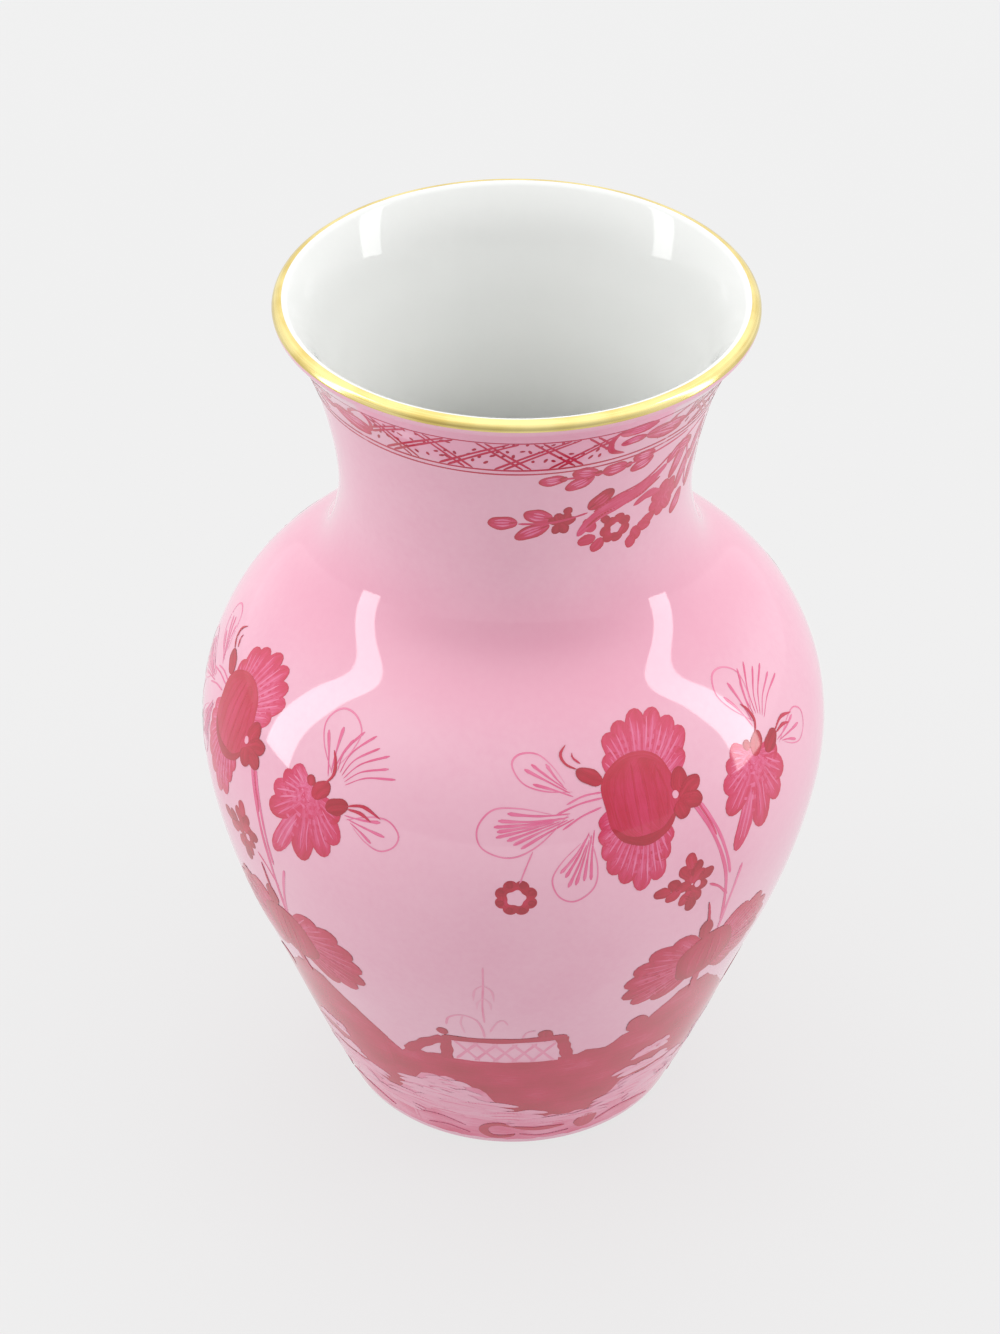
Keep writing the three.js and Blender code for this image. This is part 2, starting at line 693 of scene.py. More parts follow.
@dataclass
class Coats:
    """The glazes over the clay, and the gold over the lip. Sizes in millimetres."""

    form: Form
    pot: Pot
    glaze_start: float = 1.1
    base_thick: float = 1.2
    base_dish: float = 0.5
    gold: float = 0.03
    gold_start: float = 42.0
    gold_end: float = 132.0
    gold_steps: int = 256

    def outside(self) -> bpy.types.Object:
        """Turns the rose coat, from just above the table over to the top of the lip.

        Returns:
            The coat.
        """
        coat, whole = self.pot.coat, self.pot.inside
        section = [
            self.form.wall(0, self.glaze_start),
            self.form.lip(0, whole, 0, 90)[1:],
            self.form.lip(coat, whole - coat, 0, 90)[::-1],
            self.form.wall(coat, self.glaze_start + 0.4)[::-1][1:],
        ]
        return turn_on_wheel("outer_glaze_coat", np.vstack(section))

    def inside(self) -> bpy.types.Object:
        """Turns the white coat, from the top of the lip down to the floor inside.

        Returns:
            The coat.
        """
        coat, whole = self.pot.coat, self.pot.inside
        floor = self.pot.floor_top
        section = [
            self.pot.hollow(whole - coat, floor),
            self.form.lip(coat, whole - coat, 90, 180)[::-1][1:],
            self.form.lip(0, whole, 90, 180),
            self.pot.hollow(whole, floor + coat)[::-1][1:],
        ]
        return turn_on_wheel("inner_glaze_coat", np.vstack(section))

    def base(self) -> bpy.types.Object:
        """Turns the glazed disc under the floor, dished a little as a fired base is.

        Returns:
            The disc.
        """
        ring = self.form.wall(self.pot.ring_inset)[0, 0] - self.pot.ring_width
        r = np.linspace(0, ring - 0.15, 14)
        dish = self.base_dish * np.cos(r / ring * math.pi / 2)
        top = self.pot.ring_height - 0.1
        under = np.column_stack([r, top - self.base_thick + dish])
        return turn_on_wheel("base_glaze_disc", np.vstack([under, [r[-1], top], [0, top]]))

    def gilding(self) -> bpy.types.Object:
        """Turns the thin band of gold over the top of the lip.

        Returns:
            The band.
        """
        whole, film, edges = self.pot.inside, self.gold, (self.gold_start, self.gold_end)
        over = self.form.lip(-film, whole + film, *edges)
        under = self.form.lip(0.02, whole - 0.02, *edges)
        section = np.vstack([over, under[::-1]])
        return turn_on_wheel("lip_gold_band", section, self.gold_steps)


# ---------------------------------------------------------------- painting


class Touch(Enum):
    """How the brush is pressed along a stroke."""

    EVEN = "even"
    TAPERED = "tapered"
    SWELLING = "swelling"
    DROP = "drop"

    def press(self, t: np.ndarray) -> np.ndarray:
        """Gives the share of the full width at each point of the stroke.

        Args:
            t: how far along the stroke, from 0 to 1.

        Returns:
            The shares.
        """
        if self is Touch.EVEN:
            return np.ones_like(t)
        if self is Touch.TAPERED:
            return 0.25 + 0.75 * np.sqrt(np.clip(1 - t, 0, 1))
        if self is Touch.SWELLING:
            return 0.3 + 0.7 * np.sin(math.pi * np.clip(t, 0, 1))
        return 0.3 + 0.7 * t**1.6


class Leaf(Enum):
    """The outline of one filled dab of the brush, from its root to its tip."""

    OVAL = "oval"
    PETAL = "petal"

    def width(self, t: np.ndarray) -> np.ndarray:
        """Gives the share of the full width at each point of the dab.

        Args:
            t: how far along the dab, from 0 to 1.

        Returns:
            The shares.
        """
        if self is Leaf.OVAL:
            return np.sqrt(np.clip(1 - (2 * t - 1) ** 2, 0, 1))
        shape = (0.3 + 0.7 * np.sqrt(t)) * np.clip(1 - t**5, 0, 1) ** 0.5
        return shape / shape.max()


@dataclass(frozen=True)
class Spot:
    """A place on the vase to paint from, and the way the brush is turned there.

    The painting is worked out flat, in millimetres round and up from the spot, and then wrapped
    on to the vase.
    """

    around: float
    height: float
    x: float = 0.0
    y: float = 0.0
    turn: float = 0.0

    def moved(self, x: float, y: float, turn: float = 0.0) -> "Spot":
        """Gives a spot further on, measured the way this one is turned."""
        px, py = self.flat(np.array([[x, y]]))[0]
        return replace(self, x=px, y=py, turn=self.turn + turn)

    def flat(self, points: np.ndarray) -> np.ndarray:
        """Turns and moves points of a dab into the flat painting.

        Args:
            points: points of the dab, in millimetres.

        Returns:
            The points in the flat painting.
        """
        a = math.radians(self.turn)
        c, s = math.cos(a), math.sin(a)
        x, y = points[..., 0], points[..., 1]
        return np.stack([self.x + x * c - y * s, self.y + x * s + y * c], axis=-1)


def smooth_line(points: Sequence[tuple[float, float]], step: float = 1.1) -> np.ndarray:
    """Draws a smooth line through a few points.

    Args:
        points: the points, in millimetres.
        step: millimetres between the points of the line.

    Returns:
        The line's points.
    """
    line = Form.through(np.array(points, float), 12)
    arcs = np.concatenate([[0.0], np.cumsum(np.hypot(*np.diff(line, axis=0).T))])
    count = max(4, round(arcs[-1] / step) + 1)
    even = np.linspace(0, arcs[-1], count)
    return np.column_stack([np.interp(even, arcs, line[:, k]) for k in (0, 1)])


@dataclass
class Patch:
    """One dab of enamel as a grid of points on the vase."""

    around: np.ndarray
    arc: np.ndarray
    tone: np.ndarray
    grain: np.ndarray
    lift: float
    closed: bool


class Enamel:
    """One piece of painting: dabs of enamel fused on the glaze, each a thin closed slab.

    Each repeat of a painting is how many degrees it is turned round the vase, and how many
    millimetres lower it hangs. The coats are millimetres above the glaze.
    """

    QUARTERS = ((0.0, 0.0), (90.0, 0.0), (180.0, 0.0), (270.0, 0.0))
    UPPER_REPEATS = ((0.0, 0.0), (110.0, 12.0), (180.0, 8.0), (270.0, 5.0))
    LOWER_REPEATS = ((0.0, 0.0), (110.0, 0.0), (180.0, 0.0), (270.0, 0.0))
    FACING = ((0.0, 0.0), (180.0, 0.0))
    SUNK = 0.12
    LINE_COAT = 0.045
    FILL_COAT = 0.028
    NEXT_COAT = 0.0003
    OVER_COAT = 0.045
    LOWEST = 1.3
    LIP_MARGIN = 0.5
    LOBE_CUT = 0.16
    WASH_COLUMN = 1.7
    WASH_ROW = 2.4
    BELLY_RADIUS = 75.0

    def __init__(self, name: str, form: Form, seed: int) -> None:
        """Starts with nothing painted.

        Args:
            name: the piece's name.
            form: the outside that it is painted on.
            seed: what the chances of the hand are drawn from.
        """
        self.name = name
        self.form = form
        self.chance = np.random.default_rng(seed)
        self.patches: list[Patch] = []
        self.laid = 0
        self.over = 0

    def lay(
        self,
        spot: Spot,
        grid: np.ndarray,
        tone: np.ndarray,
        coat: float,
        closed: bool = False,
    ) -> None:
        """Lays a grid of flat points on the vase as one dab.

        Args:
            spot: where the flat painting is centred.
            grid: points along and across the dab, in millimetres.
            tone: how full the brush is at each point.
            coat: how far the dab stands above the glaze.
            closed: whether the dab's end joins its start.
        """
        flat = spot.flat(grid)
        arc = self.form.arc_at(spot.height) + flat[..., 1]
        arc = np.clip(arc, self.LOWEST, self.form.length - self.LIP_MARGIN)
        around = spot.around + np.degrees(flat[..., 0] / self.form.radius(arc))
        steps = np.hypot(*np.moveaxis(np.diff(grid[:, grid.shape[1] // 2], axis=0), -1, 0))
        along = np.concatenate([[0.0], np.cumsum(steps)])
        widths = np.hypot(*np.moveaxis(grid - grid[:, :1], -1, 0))
        grain = np.stack([np.broadcast_to(along[:, None], widths.shape), widths], axis=-1)
        grain = grain + self.chance.uniform(0, 400, 2)
        lift = coat + self.NEXT_COAT * self.laid + self.OVER_COAT * self.over
        self.laid += 1
        self.patches.append(Patch(around, arc, tone, grain, lift, closed))

    def line(
        self,
        spot: Spot,
        points: Sequence[tuple[float, float]],
        width: float,
        tone: float,
        touch: Touch = Touch.TAPERED,
    ) -> None:
        """Paints a line through a few points.

        Args:
            spot: where the flat painting is centred.
            points: places the line passes, in millimetres.
            width: its full width.
            tone: how full the brush is.
            touch: how the brush is pressed along it.
        """
        middle = smooth_line(points)
        along = np.gradient(middle, axis=0)
        along /= np.hypot(*along.T)[:, None]
        side = np.column_stack([-along[:, 1], along[:, 0]])
        t = np.linspace(0, 1, len(middle))
        half = width / 2 * touch.press(t) * (1 + 0.1 * np.sin(t * self.chance.uniform(9, 20)))
        half[[0, -1]] *= 0.35
        grid = middle[:, None] + side[:, None] * half[:, None, None] * [[-1.0], [0.0], [1.0]]
        fade = tone * (1 - 0.12 * self.chance.random() * t)
        self.lay(spot, grid, np.repeat(fade[:, None], 3, axis=1), self.LINE_COAT)

    def dab(
        self,
        spot: Spot,
        length: float,
        width: float,
        root: float,
        tip: float,
        leaf: Leaf = Leaf.PETAL,
        bend: float = 0.0,
        edge: float = 0.1,
        cells: tuple[int, int] = (12, 7),
    ) -> None:
        """Paints a filled dab from the spot outwards.

        Args:
            spot: the dab's root; it points up the spot's own y.
            length: from root to tip.
            width: at the widest.
            root: tone at the root.
            tip: tone at the tip.
            leaf: the dab's outline.
            bend: how far the tip swings to the right, as a share of the length.
            edge: how much darker the paint dries along the edge.
            cells: points along and across.
        """
        t = (1 - np.cos(np.linspace(0.0, math.pi, cells[0]))) / 2
        v = np.linspace(-1, 1, cells[1])
        share = np.clip(leaf.width(t), 0.03, None)
        wobble = 1 + 0.07 * np.sin(t[:, None] * 9 + self.chance.uniform(0, 6) + v * 2)
        half = width / 2 * share[:, None] * wobble
        x = v * half + bend * length * t[:, None] ** 2
        y = np.broadcast_to(t[:, None] * length, x.shape)
        streaks = 0.05 * np.sin(v * self.chance.uniform(5, 9) + self.chance.uniform(0, 6))
        rim = np.maximum(np.abs(v)[None], np.clip(t[:, None] * 1.5 - 0.5, 0, 1)) ** 5
        tone = root + (tip - root) * t[:, None] ** 1.4 + streaks + edge * rim
        self.lay(spot, np.stack([x, y], axis=-1), np.clip(tone, 0.02, 1), self.FILL_COAT)

    def wreath(
        self,
        spot: Spot,
        outer: float,
        hole: float,
        lobes: int,
        tone: float,
    ) -> None:
        """Paints a ring of round lobes with an open middle.

        Args:
            spot: the ring's centre.
            outer: its outer radius.
            hole: the open middle's radius.
            lobes: how many lobes go round.
            tone: how full the brush is.
        """
        a = np.linspace(0, math.tau, lobes * 8, endpoint=False)[:, None]
        share = np.linspace(0, 1, 5)
        lobe = 1 - self.LOBE_CUT * (1 - np.abs(np.sin(a * lobes / 2)) ** 0.7)
        inner = hole * (1 + 0.1 * np.sin(a * 5 + 1))
        r = inner + (outer * lobe - inner) * share
        grid = np.stack([r * np.cos(a), r * np.sin(a)], axis=-1)
        shade = tone + 0.1 * np.sin(a * 3) * (1 - share) + 0.05 * share
        self.lay(spot, grid, shade, self.FILL_COAT, closed=True)

    def fire(
        self,
        finish: bpy.types.Material,
        repeats: Sequence[tuple[float, float]] = QUARTERS,
    ) -> bpy.types.Object:
        """Fuses all the dabs on the vase as one piece, repeated round it.

        Args:
            finish: the enamel's material.
            repeats: for each repeat, degrees round the vase and how many millimetres lower.

        Returns:
            The piece.
        """
        points, normals, tones, grains, faces, base = [], [], [], [], [], 0
        for turn, drop in repeats:
            for patch in self.patches:
                around, arc = patch.around + turn, patch.arc - drop
                here = self._slab(patch)
                for lift in (patch.lift, -self.SUNK):
                    spread = self.form.surface(around, arc, np.full(arc.shape, lift))
                    points.append(spread[0].reshape(-1, 3))
                    normals.append(spread[1].reshape(-1, 3))
                    tones.append(patch.tone.reshape(-1))
                    grains.append(patch.grain.reshape(-1, 2))
                faces.append(here + base)
                base += 2 * patch.arc.size
        return self._fuse(points, normals, tones, grains, faces, finish)

    @staticmethod
    def _slab(patch: Patch) -> np.ndarray:
        """Lists the faces of a closed slab: its top, its underside and its edges.

        Args:
            patch: the dab.

        Returns:
            Rows of four corners, numbered through the top and then the underside.
        """
        n, m = patch.arc.shape
        grid = np.arange(n * m).reshape(n, m)
        if patch.closed:
            grid = np.vstack([grid, grid[:1]])
        a, b, c, d = grid[:-1, :-1], grid[:-1, 1:], grid[1:, 1:], grid[1:, :-1]
        top = np.stack([a, b, c, d], axis=-1).reshape(-1, 4)
        under = top[:, ::-1] + n * m
        sides = [(grid[1:, 0], grid[:-1, 0]), (grid[:-1, -1], grid[1:, -1])]
        if not patch.closed:
            sides += [(grid[0, :-1], grid[0, 1:]), (grid[-1, 1:], grid[-1, :-1])]
        walls = [np.stack([p, p + n * m, q + n * m, q], axis=-1) for p, q in sides]
        faces = np.vstack([top, under, *walls])
        run_around, run_arc = (k[:-1, :-1] - k[1:, :-1] for k in (patch.around, patch.arc))
        rise_around, rise_arc = (k[:-1, :-1] - k[:-1, 1:] for k in (patch.around, patch.arc))
        turn = (rise_around * run_arc - rise_arc * run_around).sum()
        return faces if turn > 0 else faces[:, ::-1]

    def _fuse(
        self,
        points: list[np.ndarray],
        normals: list[np.ndarray],
        tones: list[np.ndarray],
        grains: list[np.ndarray],
        faces: list[np.ndarray],
        finish: bpy.types.Material,
    ) -> bpy.types.Object:
        """Makes the mesh of all the slabs, shaded as the glaze they are fused with.

        Args:
            points: places of the corners, in metres.
            normals: outward directions of the glaze at them.
            tones: how full the brush is at them.
            grains: how far they lie along and across the stroke.
            faces: rows of four corners.
            finish: the enamel's material.

        Returns:
            The piece.
        """
        mesh = bpy.data.meshes.new(self.name)
        quads = np.vstack(faces)
        mesh.from_pydata(np.vstack(points), [], quads.tolist())
        tone = mesh.attributes.new(TONE, "FLOAT", "POINT")
        tone.data.foreach_set("value", np.concatenate(tones).astype(np.float32))
        grain = mesh.uv_layers.new(name=GRAIN)
        corners = np.vstack(grains)[quads.reshape(-1)].astype(np.float32)
        grain.data.foreach_set("uv", corners.reshape(-1))
        mesh.shade_smooth()
        mesh.normals_split_custom_set_from_vertices(np.vstack(normals))
        mesh.materials.append(finish)
        piece = bpy.data.objects.new(self.name, mesh)
        bpy.context.collection.objects.link(piece)
        return piece

    def wash(
        self,
        high: Sequence[tuple[float, float]],
        low: Sequence[tuple[float, float]],
        top: float,
        bottom: float,
        ragged: float,
    ) -> None:
        """Floods the space between two edges with a broad brush.

        Args:
            high: the upper edge, as places in degrees and height.
            low: the lower edge, over the same span.
            top: tone along the upper edge.
            bottom: tone along the lower edge.
            ragged: how far the edges wander, in millimetres.
        """
        high, low = np.array(high, float), np.array(low, float)
        span = high[-1, 0] - high[0, 0]
        columns = max(4, round(span / self.WASH_COLUMN) + 1)
        around = np.linspace(high[0, 0], high[-1, 0], columns)
        edges = []
        for line, sign in ((low, -1), (high, 1)):
            heights = np.interp(around, line[:, 0], line[:, 1])
            arc = np.array([self.form.arc_at(h) for h in heights])
            a, b = self.chance.uniform(0, 6, 2)
            wander = np.sin(around * 0.9 + a) + 0.6 * np.sin(around * 2.1 + b)
            fade = np.clip(4 - np.abs(np.linspace(-4, 4, columns)), 0, 1)
            edges.append(arc + sign * 0.35 * ragged * wander * fade)
        deepest = float(np.max(edges[1] - edges[0]))
        rows = max(4, round(deepest / self.WASH_ROW) + 1)
        share = np.linspace(0, 1, rows)
        arc = edges[0][:, None] + (edges[1] - edges[0])[:, None] * share
        wide = np.broadcast_to(around[:, None], arc.shape)
        cloud = 0.045 * np.sin(wide * 0.31 + arc * 0.22)
        cloud = cloud + 0.04 * np.sin(wide * 0.13 - arc * 0.4)
        rim = 0.06 * np.abs(2 * share - 1) ** 8
        tone = np.clip(bottom + (top - bottom) * share + cloud + rim, 0.02, 1)
        grain = np.stack([np.radians(wide) * self.BELLY_RADIUS, arc], axis=-1)
        lift = self.FILL_COAT + self.NEXT_COAT * self.laid + self.OVER_COAT * self.over
        self.laid += 1
        self.patches.append(Patch(wide.copy(), arc, tone, grain, lift, False))

    def motif(self, over: int = 0) -> None:
        """Starts a motif that lies clear of the ones before it, or over that many of them."""
        self.laid = 0
        self.over = over

    def flat_points(self, spot: Spot, places: Sequence[tuple[float, float]]) -> list:
        """Turns places in degrees and height into flat points about a spot.

        Args:
            spot: where the flat painting is centred.
            places: degrees round the vase and height in millimetres.

        Returns:
            The flat points.
        """
        start = self.form.arc_at(spot.height)
        found = []
        for around, height in places:
            arc = self.form.arc_at(height)
            x = math.radians(around - spot.around) * float(self.form.radius(arc))
            found.append((x, arc - start))
        return found

    def trail(
        self,
        places: Sequence[tuple[float, float]],
        width: float,
        tone: float,
        touch: Touch = Touch.EVEN,
    ) -> None:
        """Paints a line through places given in degrees and height.

        Args:
            places: degrees round the vase and height in millimetres.
            width: its full width.
            tone: how full the brush is.
            touch: how the brush is pressed along it.
        """
        spot = Spot(*places[0])
        self.line(spot, self.flat_points(spot, places), width, tone, touch)

    def leaf(self, spot: Spot, length: float, width: float, tone: float, bend: float) -> None:
        """Paints a rounded leaf, dark round its edge, streaked with pale strokes inside.

        Args:
            spot: the leaf's root; it points up the spot's own y.
            length: from root to tip.
            width: at the widest.
            tone: how full the brush is.
            bend: how far the tip swings to the right, as a share of the length.
        """
        self.dab(spot, length, width, tone, tone + 0.02, Leaf.OVAL, bend, edge=0.26)
        for side, shade in ((-0.5, 0.34), (0.05, 0.28), (0.55, 0.38)):
            x = side * width * 0.42
            low, high = self.chance.uniform(0.2, 0.3), self.chance.uniform(0.68, 0.8)
            streak = [(x * 0.7, low * length), (x, (low + high) / 2 * length)]
            streak.append((x * 0.8 + bend * length * high**2, high * length))
            self.line(spot, streak, 0.7, max(tone - shade * 0.6, 0.2), Touch.SWELLING)
        self.line(spot, [(0, 0.2), (0, length * 0.16), (0, length * 0.3)], 0.7, tone + 0.26)

    def plume(
        self, spot: Spot, length: float, breadth: float, strokes: int, tone: float
    ) -> None:
        """Paints an open feather: a looped outline with drop-ended strokes inside it.

        Args:
            spot: the feather's root; it points up the spot's own y.
            length: from root to tip.
            breadth: across its widest part.
            strokes: how many drops are fanned inside it.
            tone: how full the brush is.
        """
        b, n = breadth / 2, length
        loop = [(0.1 * b, 0.16 * n), (-0.75 * b, 0.5 * n), (-b, 0.78 * n), (-0.45 * b, n)]
        loop += [(0.35 * b, 0.99 * n), (0.95 * b, 0.8 * n)]
        loop += [(0.8 * b, 0.55 * n), (0.3 * b, 0.3 * n)]
        self.line(spot, loop, 0.62, tone, Touch.SWELLING)
        for k in range(strokes):
            lean = (k / max(strokes - 1, 1) - 0.5) * 2
            reach = n * (0.84 - 0.16 * lean * lean) * self.chance.uniform(0.92, 1.04)
            start = n * (0.12 + 0.06 * k % 0.2)
            drop = [(lean * b * 0.12, start), (lean * b * 0.36, (start + reach) / 2)]
            drop.append((lean * b * 0.72, reach))
            self.line(spot, drop, 1.25, tone + 0.08, Touch.DROP)

    def petal(
        self, spot: Spot, length: float, width: float, tone: float, bend: float = 0.0
    ) -> None:
        """Paints a petal with a darker tip and a few fine veins.

        Args:
            spot: the petal's root; it points up the spot's own y.
            length: from root to tip.
            width: at the widest.
            tone: how full the brush is.
            bend: how far the tip swings to the right, as a share of the length.
        """
        self.dab(spot, length, width, tone - 0.08, tone + 0.08, Leaf.PETAL, bend)
        for side, shade in ((-0.5, -0.13), (0.1, -0.1), (0.5, 0.07)):
            tip = side * width * 0.5 + bend * length * 0.8
            vein = [(side * width * 0.3, length * 0.35), (tip * 0.8, length * 0.6)]
            vein.append((tip, length * self.chance.uniform(0.8, 0.9)))
            self.line(spot, vein, 0.6, tone + shade, Touch.SWELLING)


# ---------------------------------------------------------------- the painting


@dataclass
class GreatBlooms:
    """The tall blooms on the shoulder: a striped seed head between two fans of petals."""

    form: Form
    spot: Spot = Spot(24.4, 174.0)
    head_width: float = 25.5
    head_height: float = 29.0
    tone: float = 0.52

    def paint(self, finish: bpy.types.Material) -> bpy.types.Object:
        """Paints the blooms and fires them on.

        Args:
            finish: the enamel's material.

        Returns:
            The fired piece.
        """
        brush = Enamel("enamel_great_blooms", self.form, 11)
        brush.motif(over=1)
        self._petals(brush)
        self._head(brush)
        self._buds(brush)
        return brush.fire(finish, Enamel.UPPER_REPEATS)

    def _petals(self, brush: Enamel) -> None:
        """Fans the petals out over and under the seed head.

        Args:
            brush: the enamel that it is painted with.
        """
        over = ((32, 20.0), (119, 17.6), (43, 25.4), (107, 22.8), (55, 26.6), (95, 25.0),
                (68, 28.0), (81, 27.6))
        under = ((207, 16.0), (293, 18.6), (220, 19.0), (285, 23.0), (232, 22.4), (243, 26.0),
                 (277, 29.0), (254, 28.4), (266, 31.4))
        for fan in (over, under):
            for k, (polar, tip) in enumerate(fan):
                root = self.spot.moved(0, 0, polar - 90).moved(0, 6.0)
                brush.petal(root, tip - 6.0, 7.4, self.tone + 0.04 * (k % 2), 0.03)

    def _head(self, brush: Enamel) -> None:
        """Paints the oval head, its curved stripes and the shadow under it.

        Args:
            brush: the enamel that it is painted with.
        """
        brush.motif(over=2)
        low = self.spot.moved(0, -self.head_height / 2)
        size = (self.head_height, self.head_width)
        brush.dab(low, *size, 0.68, 0.72, Leaf.OVAL, edge=0.14, cells=(20, 15))
        for side in (-0.72, -0.44, -0.14, 0.16, 0.46, 0.74):
            x, y = side * self.head_width * 0.47, self.head_height * 0.40
            bow = 1 - side * side * 0.4
            stripe = [(x * 0.72, y * bow), (x, 0), (x * 0.86, -y * bow)]
            brush.line(self.spot, stripe, 0.9, 0.78, Touch.SWELLING)
        crown = [(-9.2, 7.8), (-5.0, 12.3), (0, 13.4), (5.0, 12.3), (9.2, 7.8)]
        brush.line(self.spot, crown, 2.2, 0.82, Touch.SWELLING)
        cup = [(-10.6, -7.6), (-6.6, -11.8), (0, -13.6), (6.6, -11.8), (10.6, -7.6)]
        brush.line(self.spot, cup, 3.2, 0.94, Touch.SWELLING)

    def _buds(self, brush: Enamel) -> None:
        """Paints the buds beside the head and their curl.

        Args:
            brush: the enamel that it is painted with.
        """
        brush.motif(over=3)
        brush.dab(self.spot.moved(-11.2, 7.6, 58), 8.6, 5.2, 0.86, 0.92, Leaf.OVAL)
        curl = [(-18.0, 12.6), (-21.0, 14.5), (-21.8, 17.6), (-19.4, 20.4)]
        brush.line(self.spot, curl, 0.9, 0.86, Touch.SWELLING)
        brush.line(self.spot, [(-16.6, 14.2), (-18.4, 16.2), (-18.2, 17.8)], 0.8, 0.8)
        for x, y, turn, length in (
            (12.6, -2.0, -12, 8.0),
            (12.8, -3.6, -62, 9.0),
            (13.0, -4.0, -112, 8.4),
            (12.2, -4.4, -165, 6.4),
        ):
            brush.dab(self.spot.moved(x, y, turn), length, 5.8, 0.82, 0.9, Leaf.OVAL)
        brush.dab(self.spot.moved(11.6, -3.4, 10), 2.6, 2.2, 0.1, 0.14, Leaf.OVAL)


@dataclass
class Plumes:
    """The open feathers beside the great blooms."""

    form: Form
    tone: float = 0.34

    def paint(self, finish: bpy.types.Material) -> bpy.types.Object:
        """Paints the feathers and fires them on.

        Args:
            finish: the enamel's material.

        Returns:
            The fired piece.
        """
        brush = Enamel("enamel_plumes", self.form, 12)
        brush.plume(Spot(13.0, 177.0, turn=54), 23.0, 10.5, 4, self.tone)
        brush.motif()
        brush.plume(Spot(13.5, 173.5, turn=102), 34.0, 16.0, 8, self.tone)
        brush.motif()
        brush.plume(Spot(15.0, 171.0, turn=159), 28.0, 14.0, 6, self.tone)
        brush.motif()
        for ends in ((10, 176, 17, 178), (8, 173.5, 17, 176.5), (9, 169, 16.5, 174)):
            middle = ((ends[0] + ends[2]) / 2, (ends[1] + ends[3]) / 2 + 0.8)
            brush.trail([ends[2:], middle, ends[:2]], 0.6, self.tone + 0.06)
        brush.motif()
        self._beside_drooping(brush)
        return brush.fire(finish, Enamel.UPPER_REPEATS)

    def _beside_drooping(self, brush: Enamel) -> None:
        """Paints the fan of lines and the two loops over the drooping bloom.

        Args:
            brush: the enamel that it is painted with.
        """
        over = Spot(54.0, 175.5)
        brush.plume(replace(over, turn=4), 24.0, 13.0, 3, self.tone)
        for k, polar in enumerate((74, 64, 54, 44, 34, 24)):
            a = math.radians(polar)
            reach = 21.0 + 1.5 * (k % 2)
            line = [
                (far * math.cos(way), far * math.sin(way))
                for far, way in ((6, a), (reach * 0.6, a + 0.12), (reach, a))
            ]
            brush.line(over, line, 0.95, self.tone + 0.12, Touch.DROP)
        brush.motif()
        brush.plume(Spot(57.0, 169.0, turn=-98), 21.0, 11.0, 3, self.tone)


@dataclass
class RingFlowers:
    """The small ring of round petals hanging under the feathers."""

    form: Form
    spot: Spot = Spot(0.7, 147.0)
    outer: float = 6.8
    hole: float = 2.9

    def paint(self, finish: bpy.types.Material) -> bpy.types.Object:
        """Paints the ring and its thread of a stem.

        Args:
            finish: the enamel's material.

        Returns:
            The fired piece.
        """
        brush = Enamel("enamel_ring_flowers", self.form, 13)
        brush.wreath(self.spot, self.outer, self.hole, 8, 0.84)
        brush.motif(over=1)
        for k in range(8):
            a = math.tau * (k + 0.5) / 8
            dot = self.spot.moved(5.2 * math.cos(a), 5.2 * math.sin(a), math.degrees(a) - 90)
            brush.dab(dot.moved(0, -1.2), 2.6, 2.4, 0.95, 0.98, Leaf.OVAL, cells=(6, 5))
        brush.motif()
        brush.trail([(1.2, 151.6), (2.2, 157.0), (3.6, 163.0)], 0.5, 0.34)
        return brush.fire(finish, Enamel.UPPER_REPEATS)


@dataclass
class SmallSprigs:
    """The little lobed sprigs between the stems."""

    form: Form
    spot: Spot = Spot(33.0, 139.0)
    lobe: float = 6.2

    def paint(self, finish: bpy.types.Material) -> bpy.types.Object:
        """Paints the sprig's arms, lobe by lobe, and its stem.

        Args:
            finish: the enamel's material.

        Returns:
            The fired piece.
        """
        brush = Enamel("enamel_small_sprigs", self.form, 14)
        lobes = (
            (0.0, 0.5, 8), (-0.6, 3.4, 35), (0.4, 3.4, -30), (0.0, 6.6, 4),
            (0.0, 0.0, 82), (-3.8, 0.2, 48), (-3.8, -0.2, 118), (-7.6, 0.4, 80),
            (0.0, 0.0, 178), (0.0, -2.4, 142), (0.4, -2.4, 212), (0.2, -5.2, 184),
            (0.4, 0.6, -48), (0.6, 0.0, -112), (2.8, 1.4, -72),
        )
        for k, (x, y, turn) in enumerate(lobes):
            tone = 0.74 + 0.08 * (k % 3)
            brush.dab(self.spot.moved(x, y, turn), self.lobe, 4.4, tone, tone + 0.08, Leaf.OVAL)
        brush.motif(over=1)
        brush.dab(self.spot.moved(2.4, -1.8), 2.8, 2.4, 0.08, 0.1, Leaf.OVAL)
        brush.motif()
        brush.trail([(37.2, 136.0), (39.6, 132.5), (42.2, 126.5)], 0.9, 0.5)
        return brush.fire(finish, Enamel.UPPER_REPEATS)


